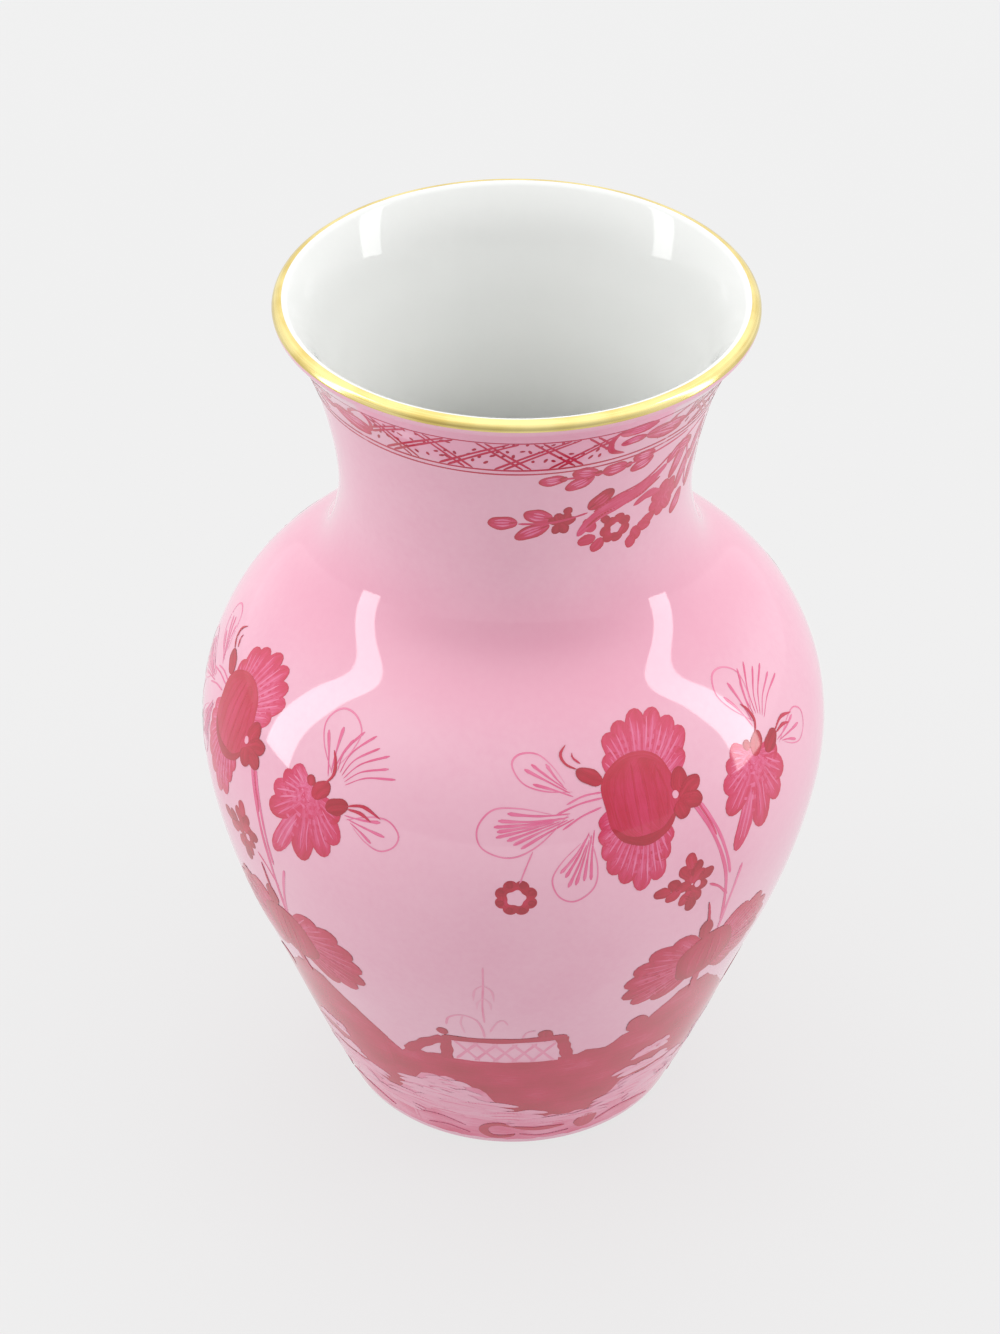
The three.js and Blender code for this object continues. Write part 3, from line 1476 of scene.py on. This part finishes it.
@dataclass
class DroopingBlooms:
    """The blooms that hang from the tall stems, each with two dark buds at its root."""

    form: Form
    spot: Spot = Spot(50.5, 171.0)
    tone: float = 0.5

    def paint(self, finish: bpy.types.Material) -> bpy.types.Object:
        """Paints the petals, the buds and their curls.

        Args:
            finish: the enamel's material.

        Returns:
            The fired piece.
        """
        brush = Enamel("enamel_drooping_blooms", self.form, 15)
        brush.motif(over=1)
        petals = (
            (150, 10.0, 7.0), (178, 12.0, 7.2), (343, 13.0, 7.2), (204, 16.0, 7.8),
            (318, 18.0, 8.0), (224, 20.5, 8.0), (247, 31.0, 6.6), (296, 21.0, 8.2),
            (270, 25.0, 9.0),
        )
        for k, (polar, reach, width) in enumerate(petals):
            tone = self.tone + 0.04 * (k % 3)
            brush.petal(self.spot.moved(0, 0, polar - 90), reach, width, tone, 0.04)
        brush.motif(over=2)
        brush.dab(self.spot.moved(1.0, -0.6, -38), 8.2, 5.4, 0.8, 0.92, Leaf.OVAL)
        brush.dab(self.spot.moved(6.6, -2.2, -62), 8.4, 5.6, 0.92, 0.98, Leaf.OVAL)
        brush.dab(self.spot.moved(-0.4, 2.4, 12), 3.6, 3.4, 0.8, 0.9, Leaf.OVAL, cells=(8, 5))
        for curl in (
            [(4.4, 5.4), (6.4, 9.0), (5.6, 13.2), (3.8, 16.2)],
            [(13.6, 1.2), (19.0, 3.0), (25.4, 0.8)],
            [(14.0, 0.4), (18.6, 0.6), (22.6, -1.0)],
        ):
            brush.line(self.spot, curl, 1.1, 0.8, Touch.SWELLING)
        return brush.fire(finish, Enamel.UPPER_REPEATS)


@dataclass
class Stems:
    """The pale stems that carry the blooms up from the hills."""

    form: Form

    def paint(self, finish: bpy.types.Material) -> bpy.types.Object:
        """Paints the stems.

        Args:
            finish: the enamel's material.

        Returns:
            The fired piece.
        """
        brush = Enamel("enamel_stems", self.form, 16)
        for places, width, tone in (
            ([(34.4, 168), (37.2, 158), (39.6, 146), (41.2, 134), (42.4, 114)], 1.3, 0.46),
            ([(36.0, 167), (38.9, 156), (41.0, 144), (42.0, 136)], 1.1, 0.42),
            ([(45.0, 137), (43.9, 129), (42.9, 120), (42.2, 110)], 1.2, 0.36),
            ([(35.4, 167.6), (37.4, 160.0), (38.6, 154.0)], 0.7, 0.62),
        ):
            brush.trail(places, width, tone)
        return brush.fire(finish, Enamel.UPPER_REPEATS)


@dataclass
class LowerBlooms:
    """The round blooms low on the belly, between scalloped fans of petals."""

    form: Form
    spot: Spot = Spot(41.0, 98.5)
    head: float = 24.0

    def paint(self, finish: bpy.types.Material) -> bpy.types.Object:
        """Paints the petals, the head over them, and the bud and spike above.

        Args:
            finish: the enamel's material.

        Returns:
            The fired piece.
        """
        brush = Enamel("enamel_lower_blooms", self.form, 17)
        brush.motif(over=2)
        for side in (1, -1):
            for k, polar in enumerate((136, 151, 222, 207, 166, 194, 180)):
                reach = 31.0 - 0.0045 * (polar - 180) ** 2 + 0.8 * (k % 2)
                turn = polar - 90 if side > 0 else 90 - polar
                brush.petal(self.spot.moved(0, 0, turn), reach, 9.6, 0.56 + 0.04 * (k % 3))
        brush.motif(over=3)
        low = self.spot.moved(0, -self.head / 2)
        brush.dab(low, self.head, self.head * 1.04, 0.8, 0.72, Leaf.OVAL, cells=(18, 14))
        for side in (-0.6, -0.2, 0.2, 0.6):
            x, y = side * self.head * 0.42, self.head * 0.36
            stripe = [(x * 0.7, y), (x, 0), (x * 0.85, -y)]
            brush.line(self.spot, stripe, 1.2, 0.68, Touch.SWELLING)
        brush.dab(self.spot.moved(-3.4, 11.0, 6), 9.0, 5.8, 0.82, 0.86, Leaf.OVAL)
        brush.line(self.spot, [(-3.6, 19.0), (-4.4, 24.0), (-5.6, 29.4)], 1.2, 0.7)
        brush.line(self.spot, [(0, -10.5), (0.6, -16.0), (1.4, -21.0)], 3.0, 0.66, Touch.EVEN)
        return brush.fire(finish, Enamel.LOWER_REPEATS)


@dataclass
class Hills:
    """The rolling ground round the foot: a dark wash with paler brushed banks left in it."""

    form: Form
    crest: tuple[tuple[float, float], ...] = (
        (-32, 61.5), (-29.5, 58.5), (-27.2, 54.0), (-25, 57.5), (-20, 58.5), (-14, 59.0),
        (0, 59.5), (12, 59.5), (17, 61.5), (23, 61), (27, 66), (31, 69.5), (34, 75),
        (37.5, 80.5), (42, 82.5), (46, 81), (50, 75.5), (53.5, 70), (57, 64.5), (60, 59.5),
    )
    shore: tuple[tuple[float, float], ...] = (
        (-32, 33), (-27, 36), (-23, 43), (-17, 44.5), (-11, 41), (-6, 36.5), (-3.5, 28),
        (0, 24), (6, 21), (14, 19.5), (24, 19.5), (28, 25), (31, 33), (36, 33), (41, 29),
        (46, 27), (50, 25), (54, 22), (58, 27), (60, 32),
    )

    def paint(self, finish: bpy.types.Material) -> bpy.types.Object:
        """Paints the wash, the banks and the small marks in the foreground.

        Args:
            finish: the enamel's material.

        Returns:
            The fired piece.
        """
        brush = Enamel("enamel_hills", self.form, 18)
        self._foreground(brush)
        brush.motif(over=1)
        brush.wash(self.crest, self.shore, 0.68, 0.76, 1.5)
        brush.motif(over=2)
        self._banks(brush)
        self._marks(brush)
        return brush.fire(finish)

    def _foreground(self, brush: Enamel) -> None:
        """Washes the ground under the hills with a pale rose.

        Args:
            brush: the enamel that it is painted with.
        """
        start, end = self.crest[0][0] + 0.5, self.crest[-1][0]
        low = [(start, 3.2), (end, 3.2)]
        high = [(max(around, start), height + 3) for around, height in self.shore]
        brush.wash(high, low, 0.26, 0.36, 0.8)

    def _banks(self, brush: Enamel) -> None:
        """Brushes paler banks over the wash, scalloped along the top.

        Args:
            brush: the enamel that it is painted with.
        """
        for around, height, length, rows, tone in (
            (-19.0, 34.0, 30, 3, 0.08), (-16.5, 41.0, 15, 2, 0.10), (-14.0, 27.0, 34, 3, 0.12),
            (-24.0, 22.5, 34, 3, 0.16), (-2.0, 21.5, 30, 3, 0.16), (37.0, 38.0, 24, 2, 0.10),
            (38.5, 47.0, 15, 2, 0.12), (43.0, 29.5, 26, 3, 0.14), (36.0, 22.5, 26, 3, 0.16),
            (14.0, 16.5, 34, 2, 0.18), (50.0, 17.0, 30, 3, 0.18),
        ):
            spot = Spot(around, height)
            for k in range(rows * 3):
                reach = length * brush.chance.uniform(0.34, 0.62)
                y = 2.5 * (k // 3) - 1.1 * rows + brush.chance.uniform(-0.6, 0.6)
                x = (k % 3 - 1) * length * 0.27 + brush.chance.uniform(-1.5, 1.5)
                stroke = [(x - reach / 2, y - 0.7), (x, y + 0.5), (x + reach / 2, y - 1.0)]
                shade = tone + brush.chance.uniform(0, 0.08)
                brush.line(spot, stroke, 3.1, shade, Touch.SWELLING)
            for k in range(rows):
                y = 2.6 * k - 1.3 * rows
                x = brush.chance.uniform(-0.2, 0.2) * length
                stroke = [(x - length * 0.2, y), (x, y + 0.6), (x + length * 0.2, y - 0.3)]
                brush.line(spot, stroke, 0.8, tone + 0.22, Touch.SWELLING)

    def _marks(self, brush: Enamel) -> None:
        """Paints the knoll, the loop, the dash and the oval in the foreground.

        Args:
            brush: the enamel that it is painted with.
        """
        brush.motif(over=3)
        brush.dab(Spot(29.5, 66.0, turn=10), 10.0, 8.0, 0.7, 0.72, Leaf.OVAL)
        loop = [(0.5, 12.5), (-3, 14.5), (-7, 13), (-8.4, 9), (-6, 5.4), (-1, 5.6), (1.5, 7)]
        brush.trail(loop, 3.0, 0.74, Touch.SWELLING)
        brush.trail([(0.5, 12.6), (6, 11), (9, 10.6), (17, 10.8)], 2.6, 0.7, Touch.SWELLING)
        brush.dab(Spot(24.0, 6.0), 10.0, 8.0, 0.72, 0.66, Leaf.OVAL)
        brush.trail([(3, 7.2), (10, 5.2), (19, 6.4)], 1.2, 0.48, Touch.SWELLING)
        brush.trail([(28, 8), (34, 11), (42, 10), (50, 7)], 1.8, 0.5, Touch.SWELLING)
        brush.trail([(-30, 12), (-22, 14), (-14, 11)], 1.8, 0.42, Touch.SWELLING)
        brush.trail([(-27, 6.5), (-20, 8), (-13, 6)], 1.4, 0.42, Touch.SWELLING)


@dataclass
class GardenWall:
    """The low garden wall on the hills, with a trellis panel and knobs, and a thin tree."""

    form: Form

    def paint(self, finish: bpy.types.Material) -> bpy.types.Object:
        """Paints the trellis, the wall round it, and the faint lines behind.

        Args:
            finish: the enamel's material.

        Returns:
            The fired piece.
        """
        brush = Enamel("enamel_garden_wall", self.form, 19)
        self._behind(brush)
        brush.motif(over=2)
        panel_top, panel_low = ((-13.4, 70.0), (11.0, 72.0)), ((-13.4, 58.0), (11.0, 58.6))
        brush.wash(panel_top, panel_low, 0.06, 0.08, 0.3)
        for k in range(5):
            x = -12.6 + 4.3 * k
            brush.trail([(x, 58.5), (x + 2.7, 64.5), (x + 5.4, 70.5)], 1.2, 0.26)
            brush.trail([(x + 5.4, 58.5), (x + 2.7, 64.5), (x, 70.5)], 1.1, 0.24)
        brush.trail([(-15.2, 71.4), (-1.0, 72.4), (12.2, 74.0)], 3.0, 0.82)
        brush.trail([(-14.8, 71.2), (-14.6, 65.0), (-15.2, 57.0)], 4.2, 0.8)
        brush.trail([(11.0, 73.6), (12.0, 67.0), (13.4, 58.5)], 4.2, 0.82)
        brush.trail([(-14.6, 70.6), (-19.5, 65.2), (-25.4, 56.0)], 4.4, 0.76)
        brush.dab(Spot(-14.6, 73.2, turn=8), 4.4, 4.0, 0.82, 0.84, Leaf.OVAL, cells=(8, 7))
        brush.dab(Spot(7.4, 73.0), 6.6, 5.2, 0.82, 0.84, Leaf.OVAL, cells=(8, 7))
        return brush.fire(finish)

    def _behind(self, brush: Enamel) -> None:
        """Paints the tree and the domed bushes behind the wall, all faint.

        Args:
            brush: the enamel that it is painted with.
        """
        brush.trail([(-5.4, 84), (-5.6, 94), (-5.3, 105), (-5.2, 115.5)], 0.7, 0.24)
        for side in (-1, 1):
            drop = [(-5.3, 106), (-5.3 + 1.6 * side, 103), (-5.3 + 2.0 * side, 97)]
            brush.trail(drop, 0.8, 0.18, Touch.SWELLING)
            drop = [(-5.3, 99), (-5.3 + 1.2 * side, 96), (-5.3 + 1.4 * side, 92)]
            brush.trail(drop, 0.8, 0.15, Touch.SWELLING)
        brush.motif()
        dome = [(-13.6, 80), (-12.8, 85), (-10.0, 87.6), (-7.2, 85.4), (-6.0, 80), (-5.6, 74)]
        brush.trail(dome, 0.8, 0.22)
        brush.trail([(-9.8, 87.4), (-10.4, 82), (-9.8, 76)], 0.7, 0.17)
        brush.trail([(-4.4, 78), (-3.0, 84), (-1.6, 86), (-0.6, 83)], 0.7, 0.2)
        brush.trail([(2.5, 74.4), (3.4, 78.0), (5.2, 79.0)], 0.7, 0.22)


@dataclass
class NeckBorder:
    """The border under the lip: lines painted round the neck, and trellis panels in them."""

    form: Form
    upper: float = 291.0
    lower: tuple[float, float] = (277.3, 275.5)
    panel: tuple[float, float] = (-40.0, 26.0)

    def paint(self, finish: bpy.types.Material) -> bpy.types.Object:
        """Paints the lines, the trellis, its seeds and the scrolls at its ends.

        Args:
            finish: the enamel's material.

        Returns:
            The fired piece.
        """
        brush = Enamel("enamel_neck_border", self.form, 20)
        for height, width in ((self.upper, 0.75), (self.lower[0], 0.7), (self.lower[1], 0.6)):
            brush.trail([(-45 + 90 * k / 8, height) for k in range(9)], width, 0.78)
        brush.motif()
        self._trellis(brush)
        self._seeds(brush)
        self._scrolls(brush)
        return brush.fire(finish)

    def _trellis(self, brush: Enamel) -> None:
        """Paints pairs of slanting lines that cross.

        Args:
            brush: the enamel that it is painted with.
        """
        top, low = self.upper - 0.5, self.lower[0] + 0.4
        for start in (-40, -25.0, -9.5, 4.5, 18.0):
            for gap in (0.0, 2.2):
                first, end = start + gap, start + 11.5 + gap
                ends = [(first, top), ((first + end) / 2 - 0.6, (top + low) / 2), (end, low)]
                brush.trail(self._inside(ends), 0.85, 0.82)
        for start in (-49, -36.5, -20.5, -5.5, 9.0):
            for gap in (0.0, 2.4):
                first, end = start + gap, start + 19.0 + gap
                ends = [(first, low), ((first + end) / 2, (top + low) / 2 + 0.4), (end, top)]
                brush.trail(self._inside(ends), 0.85, 0.8)

    def _inside(self, ends: list[tuple[float, float]]) -> list[tuple[float, float]]:
        """Cuts a slanting line off at the ends of the panel.

        Args:
            ends: places along the line, in degrees and height.

        Returns:
            The places kept.
        """
        around = np.array([p[0] for p in ends])
        height = np.array([p[1] for p in ends])
        low, high = max(self.panel[0], around[0]), min(self.panel[1], around[-1])
        kept = np.linspace(low, high, 4)
        return list(zip(kept.tolist(), np.interp(kept, around, height).tolist()))

    def _seeds(self, brush: Enamel) -> None:
        """Scatters short dashes in the cells of the trellis.

        Args:
            brush: the enamel that it is painted with.
        """
        rows = (280.2, 283.0, 285.8, 288.8)
        for k in range(62):
            around = self.panel[0] + 1.2 + (k * 7.63) % (self.panel[1] - self.panel[0] - 2.0)
            height = rows[k % 4] + brush.chance.uniform(-0.7, 0.7)
            turn = brush.chance.uniform(-80, 80)
            seed, length = Spot(around, height, turn=turn), brush.chance.uniform(1.3, 2.3)
            brush.dab(seed, length, 1.05, 0.9, 0.94, Leaf.OVAL, cells=(5, 4))

    def _scrolls(self, brush: Enamel) -> None:
        """Paints a scroll and leaves between one trellis panel and the next.

        Args:
            brush: the enamel that it is painted with.
        """
        brush.motif()
        scroll = [(28.0, 291.4), (25.8, 289), (24.9, 285), (26.0, 281), (30.0, 278.9)]
        brush.trail(scroll, 2.2, 0.8, Touch.SWELLING)
        brush.leaf(Spot(26.2, 289.6, turn=-98), 13.5, 7.0, 0.62, -0.1)
        brush.leaf(Spot(28.0, 283.2, turn=-80), 9.0, 4.2, 0.62, 0.1)
        brush.leaf(Spot(35.6, 284.0, turn=-96), 15.5, 7.4, 0.56, 0.12)
        brush.leaf(Spot(49.6, 283.4, turn=84), 10.5, 4.4, 0.56, 0.0)
        brush.motif()
        scroll = [(49.6, 290.6), (50.6, 287), (49.6, 283), (46.0, 281.0), (42.0, 282.2)]
        brush.trail(scroll, 1.6, 0.72, Touch.SWELLING)
        brush.trail([(45.0, 286.6), (42.6, 285.6), (42.4, 283.4)], 1.2, 0.6)
        brush.trail([(40.6, 279.4), (44.2, 288.0), (49.0, 290.8)], 1.5, 0.66, Touch.SWELLING)


@dataclass
class NeckSprays:
    """The sprays of leaves and blossom that hang round the neck."""

    form: Form

    def paint(self, finish: bpy.types.Material) -> bpy.types.Object:
        """Paints the upper twig, the lower twig, the long leaf and the blossom.

        Args:
            finish: the enamel's material.

        Returns:
            The fired piece.
        """
        brush = Enamel("enamel_neck_sprays", self.form, 21)
        self._upper(brush)
        self._lower(brush)
        self._long_leaf(brush)
        self._blossom(brush)
        return brush.fire(finish, Enamel.FACING)

    def _upper(self, brush: Enamel) -> None:
        """Paints the twig just under the border.

        Args:
            brush: the enamel that it is painted with.
        """
        brush.motif()
        brush.trail([(12, 272.4), (24, 271.8), (36, 272.6), (46, 273.4), (56, 274)], 0.8, 0.62)
        for around, height, turn, length, width in (
            (14.0, 272.6, 100, 8.2, 4.6), (23.4, 272.8, 82, 8.6, 5.2),
            (22.4, 271.6, 118, 9.6, 5.2), (32.6, 272.4, 92, 8.6, 5.6),
            (42.0, 273.4, 86, 8.8, 4.8), (42.0, 271.6, 108, 8.8, 5.0),
        ):
            brush.leaf(Spot(around, height, turn=turn), length, width, 0.58, 0.05)
        for around in (13.4, 23.6, 33.0):
            brush.dab(Spot(around, 271.0), 2.6, 2.6, 0.84, 0.88, Leaf.OVAL, cells=(6, 5))

    def _lower(self, brush: Enamel) -> None:
        """Paints the twig of three leaves and its dark bud.

        Args:
            brush: the enamel that it is painted with.
        """
        brush.motif()
        brush.trail([(1.0, 254.6), (7.0, 254.4), (13.0, 254.6), (22.0, 256.2)], 0.75, 0.6)
        brush.leaf(Spot(0.8, 255.2, turn=94), 9.0, 5.6, 0.6, 0.0)
        brush.leaf(Spot(11.2, 256.2, turn=78), 9.2, 5.8, 0.58, 0.08)
        brush.leaf(Spot(10.4, 253.6, turn=112), 11.4, 5.2, 0.6, -0.05)
        for turn in (60, 20, -30, -75, 150, 200):
            bud = Spot(14.0, 253.8, turn=turn)
            brush.dab(bud, 4.6, 3.4, 0.84, 0.9, Leaf.OVAL, cells=(7, 5))
        brush.dab(Spot(15.7, 257.0), 3.2, 3.0, 0.86, 0.9, Leaf.OVAL, cells=(7, 5))

    def _long_leaf(self, brush: Enamel) -> None:
        """Paints the long curved leaf that sweeps up to the next spray.

        Args:
            brush: the enamel that it is painted with.
        """
        brush.motif()
        sweep = [(19.4, 247.4), (24, 253.0), (31, 257.0), (40, 258.8), (50, 264)]
        brush.trail(sweep, 5.8, 0.58, Touch.SWELLING)
        brush.trail([(22.0, 250.2), (28, 254.4), (38, 256.0), (48, 260)], 0.8, 0.84)
        brush.trail([(24.0, 256.0), (31, 260.0), (41, 262.2), (51, 268)], 0.8, 0.74)
        brush.leaf(Spot(22.0, 257.6, turn=-56), 10.0, 6.2, 0.78, -0.05)
        brush.leaf(Spot(50.0, 264.0, turn=-40), 8.5, 4.6, 0.6, 0.1)
        brush.leaf(Spot(52.5, 267.6, turn=-88), 9.5, 6.4, 0.62, 0.1)

    def _blossom(self, brush: Enamel) -> None:
        """Paints the ringed blossom under the long leaf, and the dabs about it.

        Args:
            brush: the enamel that it is painted with.
        """
        brush.motif()
        for x, y, turn, length in (
            (-7.6, 1.6, 30, 6.6), (-6.6, -1.0, 95, 6.0), (-4.0, -2.0, 140, 5.6),
            (7.0, -2.2, 205, 6.0), (8.6, -2.2, -110, 6.4), (10.0, -2.6, -75, 6.4),
            (6.6, -4.6, 178, 5.2),
        ):
            petal = Spot(32.4, 246.4).moved(x, y, turn)
            brush.dab(petal, length, 4.4, 0.66, 0.7, Leaf.OVAL, cells=(8, 6))
        brush.wreath(Spot(32.6, 246.8), 5.6, 1.9, 7, 0.8)
        brush.dab(Spot(29.6, 250.0, turn=36), 4.0, 3.0, 0.88, 0.9, Leaf.OVAL, cells=(7, 5))
        brush.motif()
        for polar in (10, 60, 110, 165, 215, 270, 320):
            petal = Spot(52.5, 250.0, turn=polar)
            brush.dab(petal, 7.0, 5.8, 0.6, 0.66, Leaf.OVAL, cells=(8, 6))
        brush.trail([(38.5, 253.0), (44.0, 255.0), (50.0, 253.6)], 3.4, 0.62, Touch.SWELLING)
        brush.motif()
        for around, height, turn, length in (
            (58.0, 270.0, 168, 15.0), (63.0, 262.0, 172, 14.0), (68.0, 271.0, 176, 15.0),
            (72.0, 259.0, 168, 15.0), (77.0, 268.0, 188, 14.0), (64.0, 247.0, 150, 9.0),
            (82.0, 256.0, 196, 13.0),
        ):
            brush.leaf(Spot(around, height, turn=turn), length, 5.6, 0.58, 0.08)
        brush.trail([(50.0, 264.0), (57.0, 270.5), (66.0, 273.0), (78.0, 270.0)], 1.0, 0.6)
        brush.trail([(59.0, 268.0), (63.0, 258.0), (66.0, 247.0)], 0.8, 0.56)
        brush.trail([(69.0, 271.0), (73.0, 260.0), (80.0, 254.0)], 0.8, 0.56)


# ---------------------------------------------------------------- the room


@dataclass
class Studio:
    """A pale table under a soft room, with a tall window of light on each side."""

    floor_size: float = 7.0
    floor_grey: float = 0.085
    floor_glow: float = 0.7
    window_sill: float = 0.1
    window_width: float = 0.21
    window_height: float = 1.25
    window_away: float = 0.95
    window_bearing: float = 86.0
    window_power: float = 2.85
    room_front: float = 0.58
    room_sides: float = 1.12
    room_top: float = 1.5

    def set_up(self) -> None:
        """Lays the table and lights the room."""
        self._table()
        self._room()
        for side in (-1, 1):
            self._window(side)
        bpy.context.scene.view_settings.view_transform = "Standard"

    def _table(self) -> None:
        """Lays a plain pale table that glows enough to hide where it ends."""
        bpy.ops.mesh.primitive_plane_add(size=self.floor_size, location=(0, 0, 0))
        table = bpy.context.object
        table.name = "table_top"
        bench = Bench("pale_table")
        place = bench.place()
        bench.feed(Base_Color=(self.floor_grey,) * 3)
        bench.feed(Roughness=bench.noise(place, 6) * 0.05 + 0.7)
        bench.feed(Emission_Color=(self.floor_glow,) * 3, Emission_Strength=1.0)
        table.data.materials.append(bench.material)

    def _room(self) -> None:
        """Lights the room evenly, brightest overhead and dimmest low in front."""
        world = bpy.data.worlds.new("room")
        bpy.context.scene.world = world
        world.use_nodes = True
        bench = Bench.of(world.node_tree)
        way = bench.node("ShaderNodeTexCoord", {}, {}, "Generated")
        back, over = bench.along(way, "Y"), bench.along(way, "Z")
        back = back.between(-0.95, -0.1) * (self.room_sides - self.room_front)
        over = over.between(0.15, 0.8) * (self.room_top - self.room_sides)
        surface = world.node_tree.nodes["Background"]
        surface.inputs["Color"].default_value = (1.0, 1.0, 1.0, 1.0)
        strength = back + over + self.room_front
        world.node_tree.links.new(strength.socket, surface.inputs["Strength"])

    def _window(self, side: int) -> None:
        """Hangs one tall soft light beside the table.

        Args:
            side: 1 for the right, -1 for the left.
        """
        a = math.radians(self.window_bearing * side)
        light = bpy.data.lights.new("window", "AREA")
        light.shape = "RECTANGLE"
        light.size, light.size_y = self.window_width, self.window_height
        light.energy = self.window_power
        lamp = bpy.data.objects.new("window", light)
        lamp.location = (
            self.window_away * math.sin(a),
            -self.window_away * math.cos(a),
            self.window_sill + self.window_height / 2,
        )
        lamp.rotation_euler = (math.pi / 2, 0, a)
        lamp.visible_camera = False
        bpy.context.collection.objects.link(lamp)


@dataclass(frozen=True)
class Eye:
    """Where the vase is looked at from."""

    place: tuple[float, float, float] = (0.0, -0.89262, 0.82178)
    down: float = 0.638566
    aside: float = 0.0050325
    roll: float = 0.004678
    lens: float = 91.75

    def open(self) -> None:
        """Sets the camera up."""
        camera = bpy.data.cameras.new("eye")
        camera.sensor_fit = "AUTO"
        camera.sensor_width = 36
        camera.lens = self.lens
        camera.clip_start = 0.05
        viewer = bpy.data.objects.new("eye", camera)
        bpy.context.collection.objects.link(viewer)
        turn = Matrix.Rotation(self.aside, 4, "Z")
        tip = Matrix.Rotation(math.pi / 2 - self.down, 4, "X")
        viewer.matrix_world = (
            Matrix.Translation(self.place) @ turn @ tip @ Matrix.Rotation(self.roll, 4, "Z")
        )
        bpy.context.scene.camera = viewer


# ---------------------------------------------------------------- putting it together


@dataclass
class Vase:
    """The whole vase: clay, glazes, gold and painting."""

    form: Form = field(default_factory=Form)
    pieces: list[bpy.types.Object] = field(default_factory=list)

    def keep(self, piece: bpy.types.Object, slot: str, *stands_for: str) -> None:
        """Puts a finished piece on the vase.

        Args:
            piece: the piece.
            slot: the name of a material slot; it is not used.
            stands_for: the parts of the fixed frame that it takes the place of.
        """
        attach(piece, "root")
        if stands_for:
            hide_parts(*stands_for)
        self.pieces.append(piece)
        log.info("%s: %d faces", piece.name, len(piece.data.polygons))

    def turn(self) -> None:
        """Turns and glazes the vase."""
        pot = Pot(self.form)
        coats = Coats(self.form, pot)
        ground = RoseGround()
        for piece, finish, slot, node in (
            (pot.throw(), Biscuit("biscuit_clay").mix(), "biscuit", "porcelain_body"),
            (pot.foot(), Biscuit("rubbed_foot").mix(), "bare_foot", "foot_ring"),
            (coats.outside(), ground.mix(), "rose_glaze", "outer_glaze"),
            (coats.inside(), WhiteGlaze("white_glaze").mix(), "white_glaze", "inner_glaze"),
            (coats.base(), WhiteGlaze("base_white").mix(), "base_white", "base_glaze"),
            (coats.gilding(), Gold().mix(), "gilding", "rim_gilding"),
        ):
            piece.data.materials.append(finish)
            self.keep(piece, slot, node)

    def decorate(self) -> None:
        """Paints the vase in crimson enamel."""
        ground = RoseGround()
        crimson = CrimsonEnamel("crimson_enamel", ground).mix()
        wash = CrimsonEnamel("crimson_wash", ground, CrimsonEnamel.WASH).mix()
        for piece in (
            NeckBorder(self.form).paint(crimson),
            NeckSprays(self.form).paint(crimson),
            Plumes(self.form).paint(crimson),
            Stems(self.form).paint(crimson),
            GreatBlooms(self.form).paint(crimson),
            RingFlowers(self.form).paint(crimson),
            SmallSprigs(self.form).paint(crimson),
            DroopingBlooms(self.form).paint(crimson),
            LowerBlooms(self.form).paint(wash),
            Hills(self.form).paint(wash),
            GardenWall(self.form).paint(wash),
        ):
            self.keep(piece, "rose_glaze")


def main() -> None:
    """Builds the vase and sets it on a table."""
    logging.basicConfig(level=logging.INFO, format="%(name)s: %(message)s")
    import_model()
    Eye().open()
    Studio().set_up()
    vase = Vase()
    vase.turn()
    vase.decorate()
    log.info("%d pieces", len(vase.pieces))


if __name__ == "__main__":
    main()
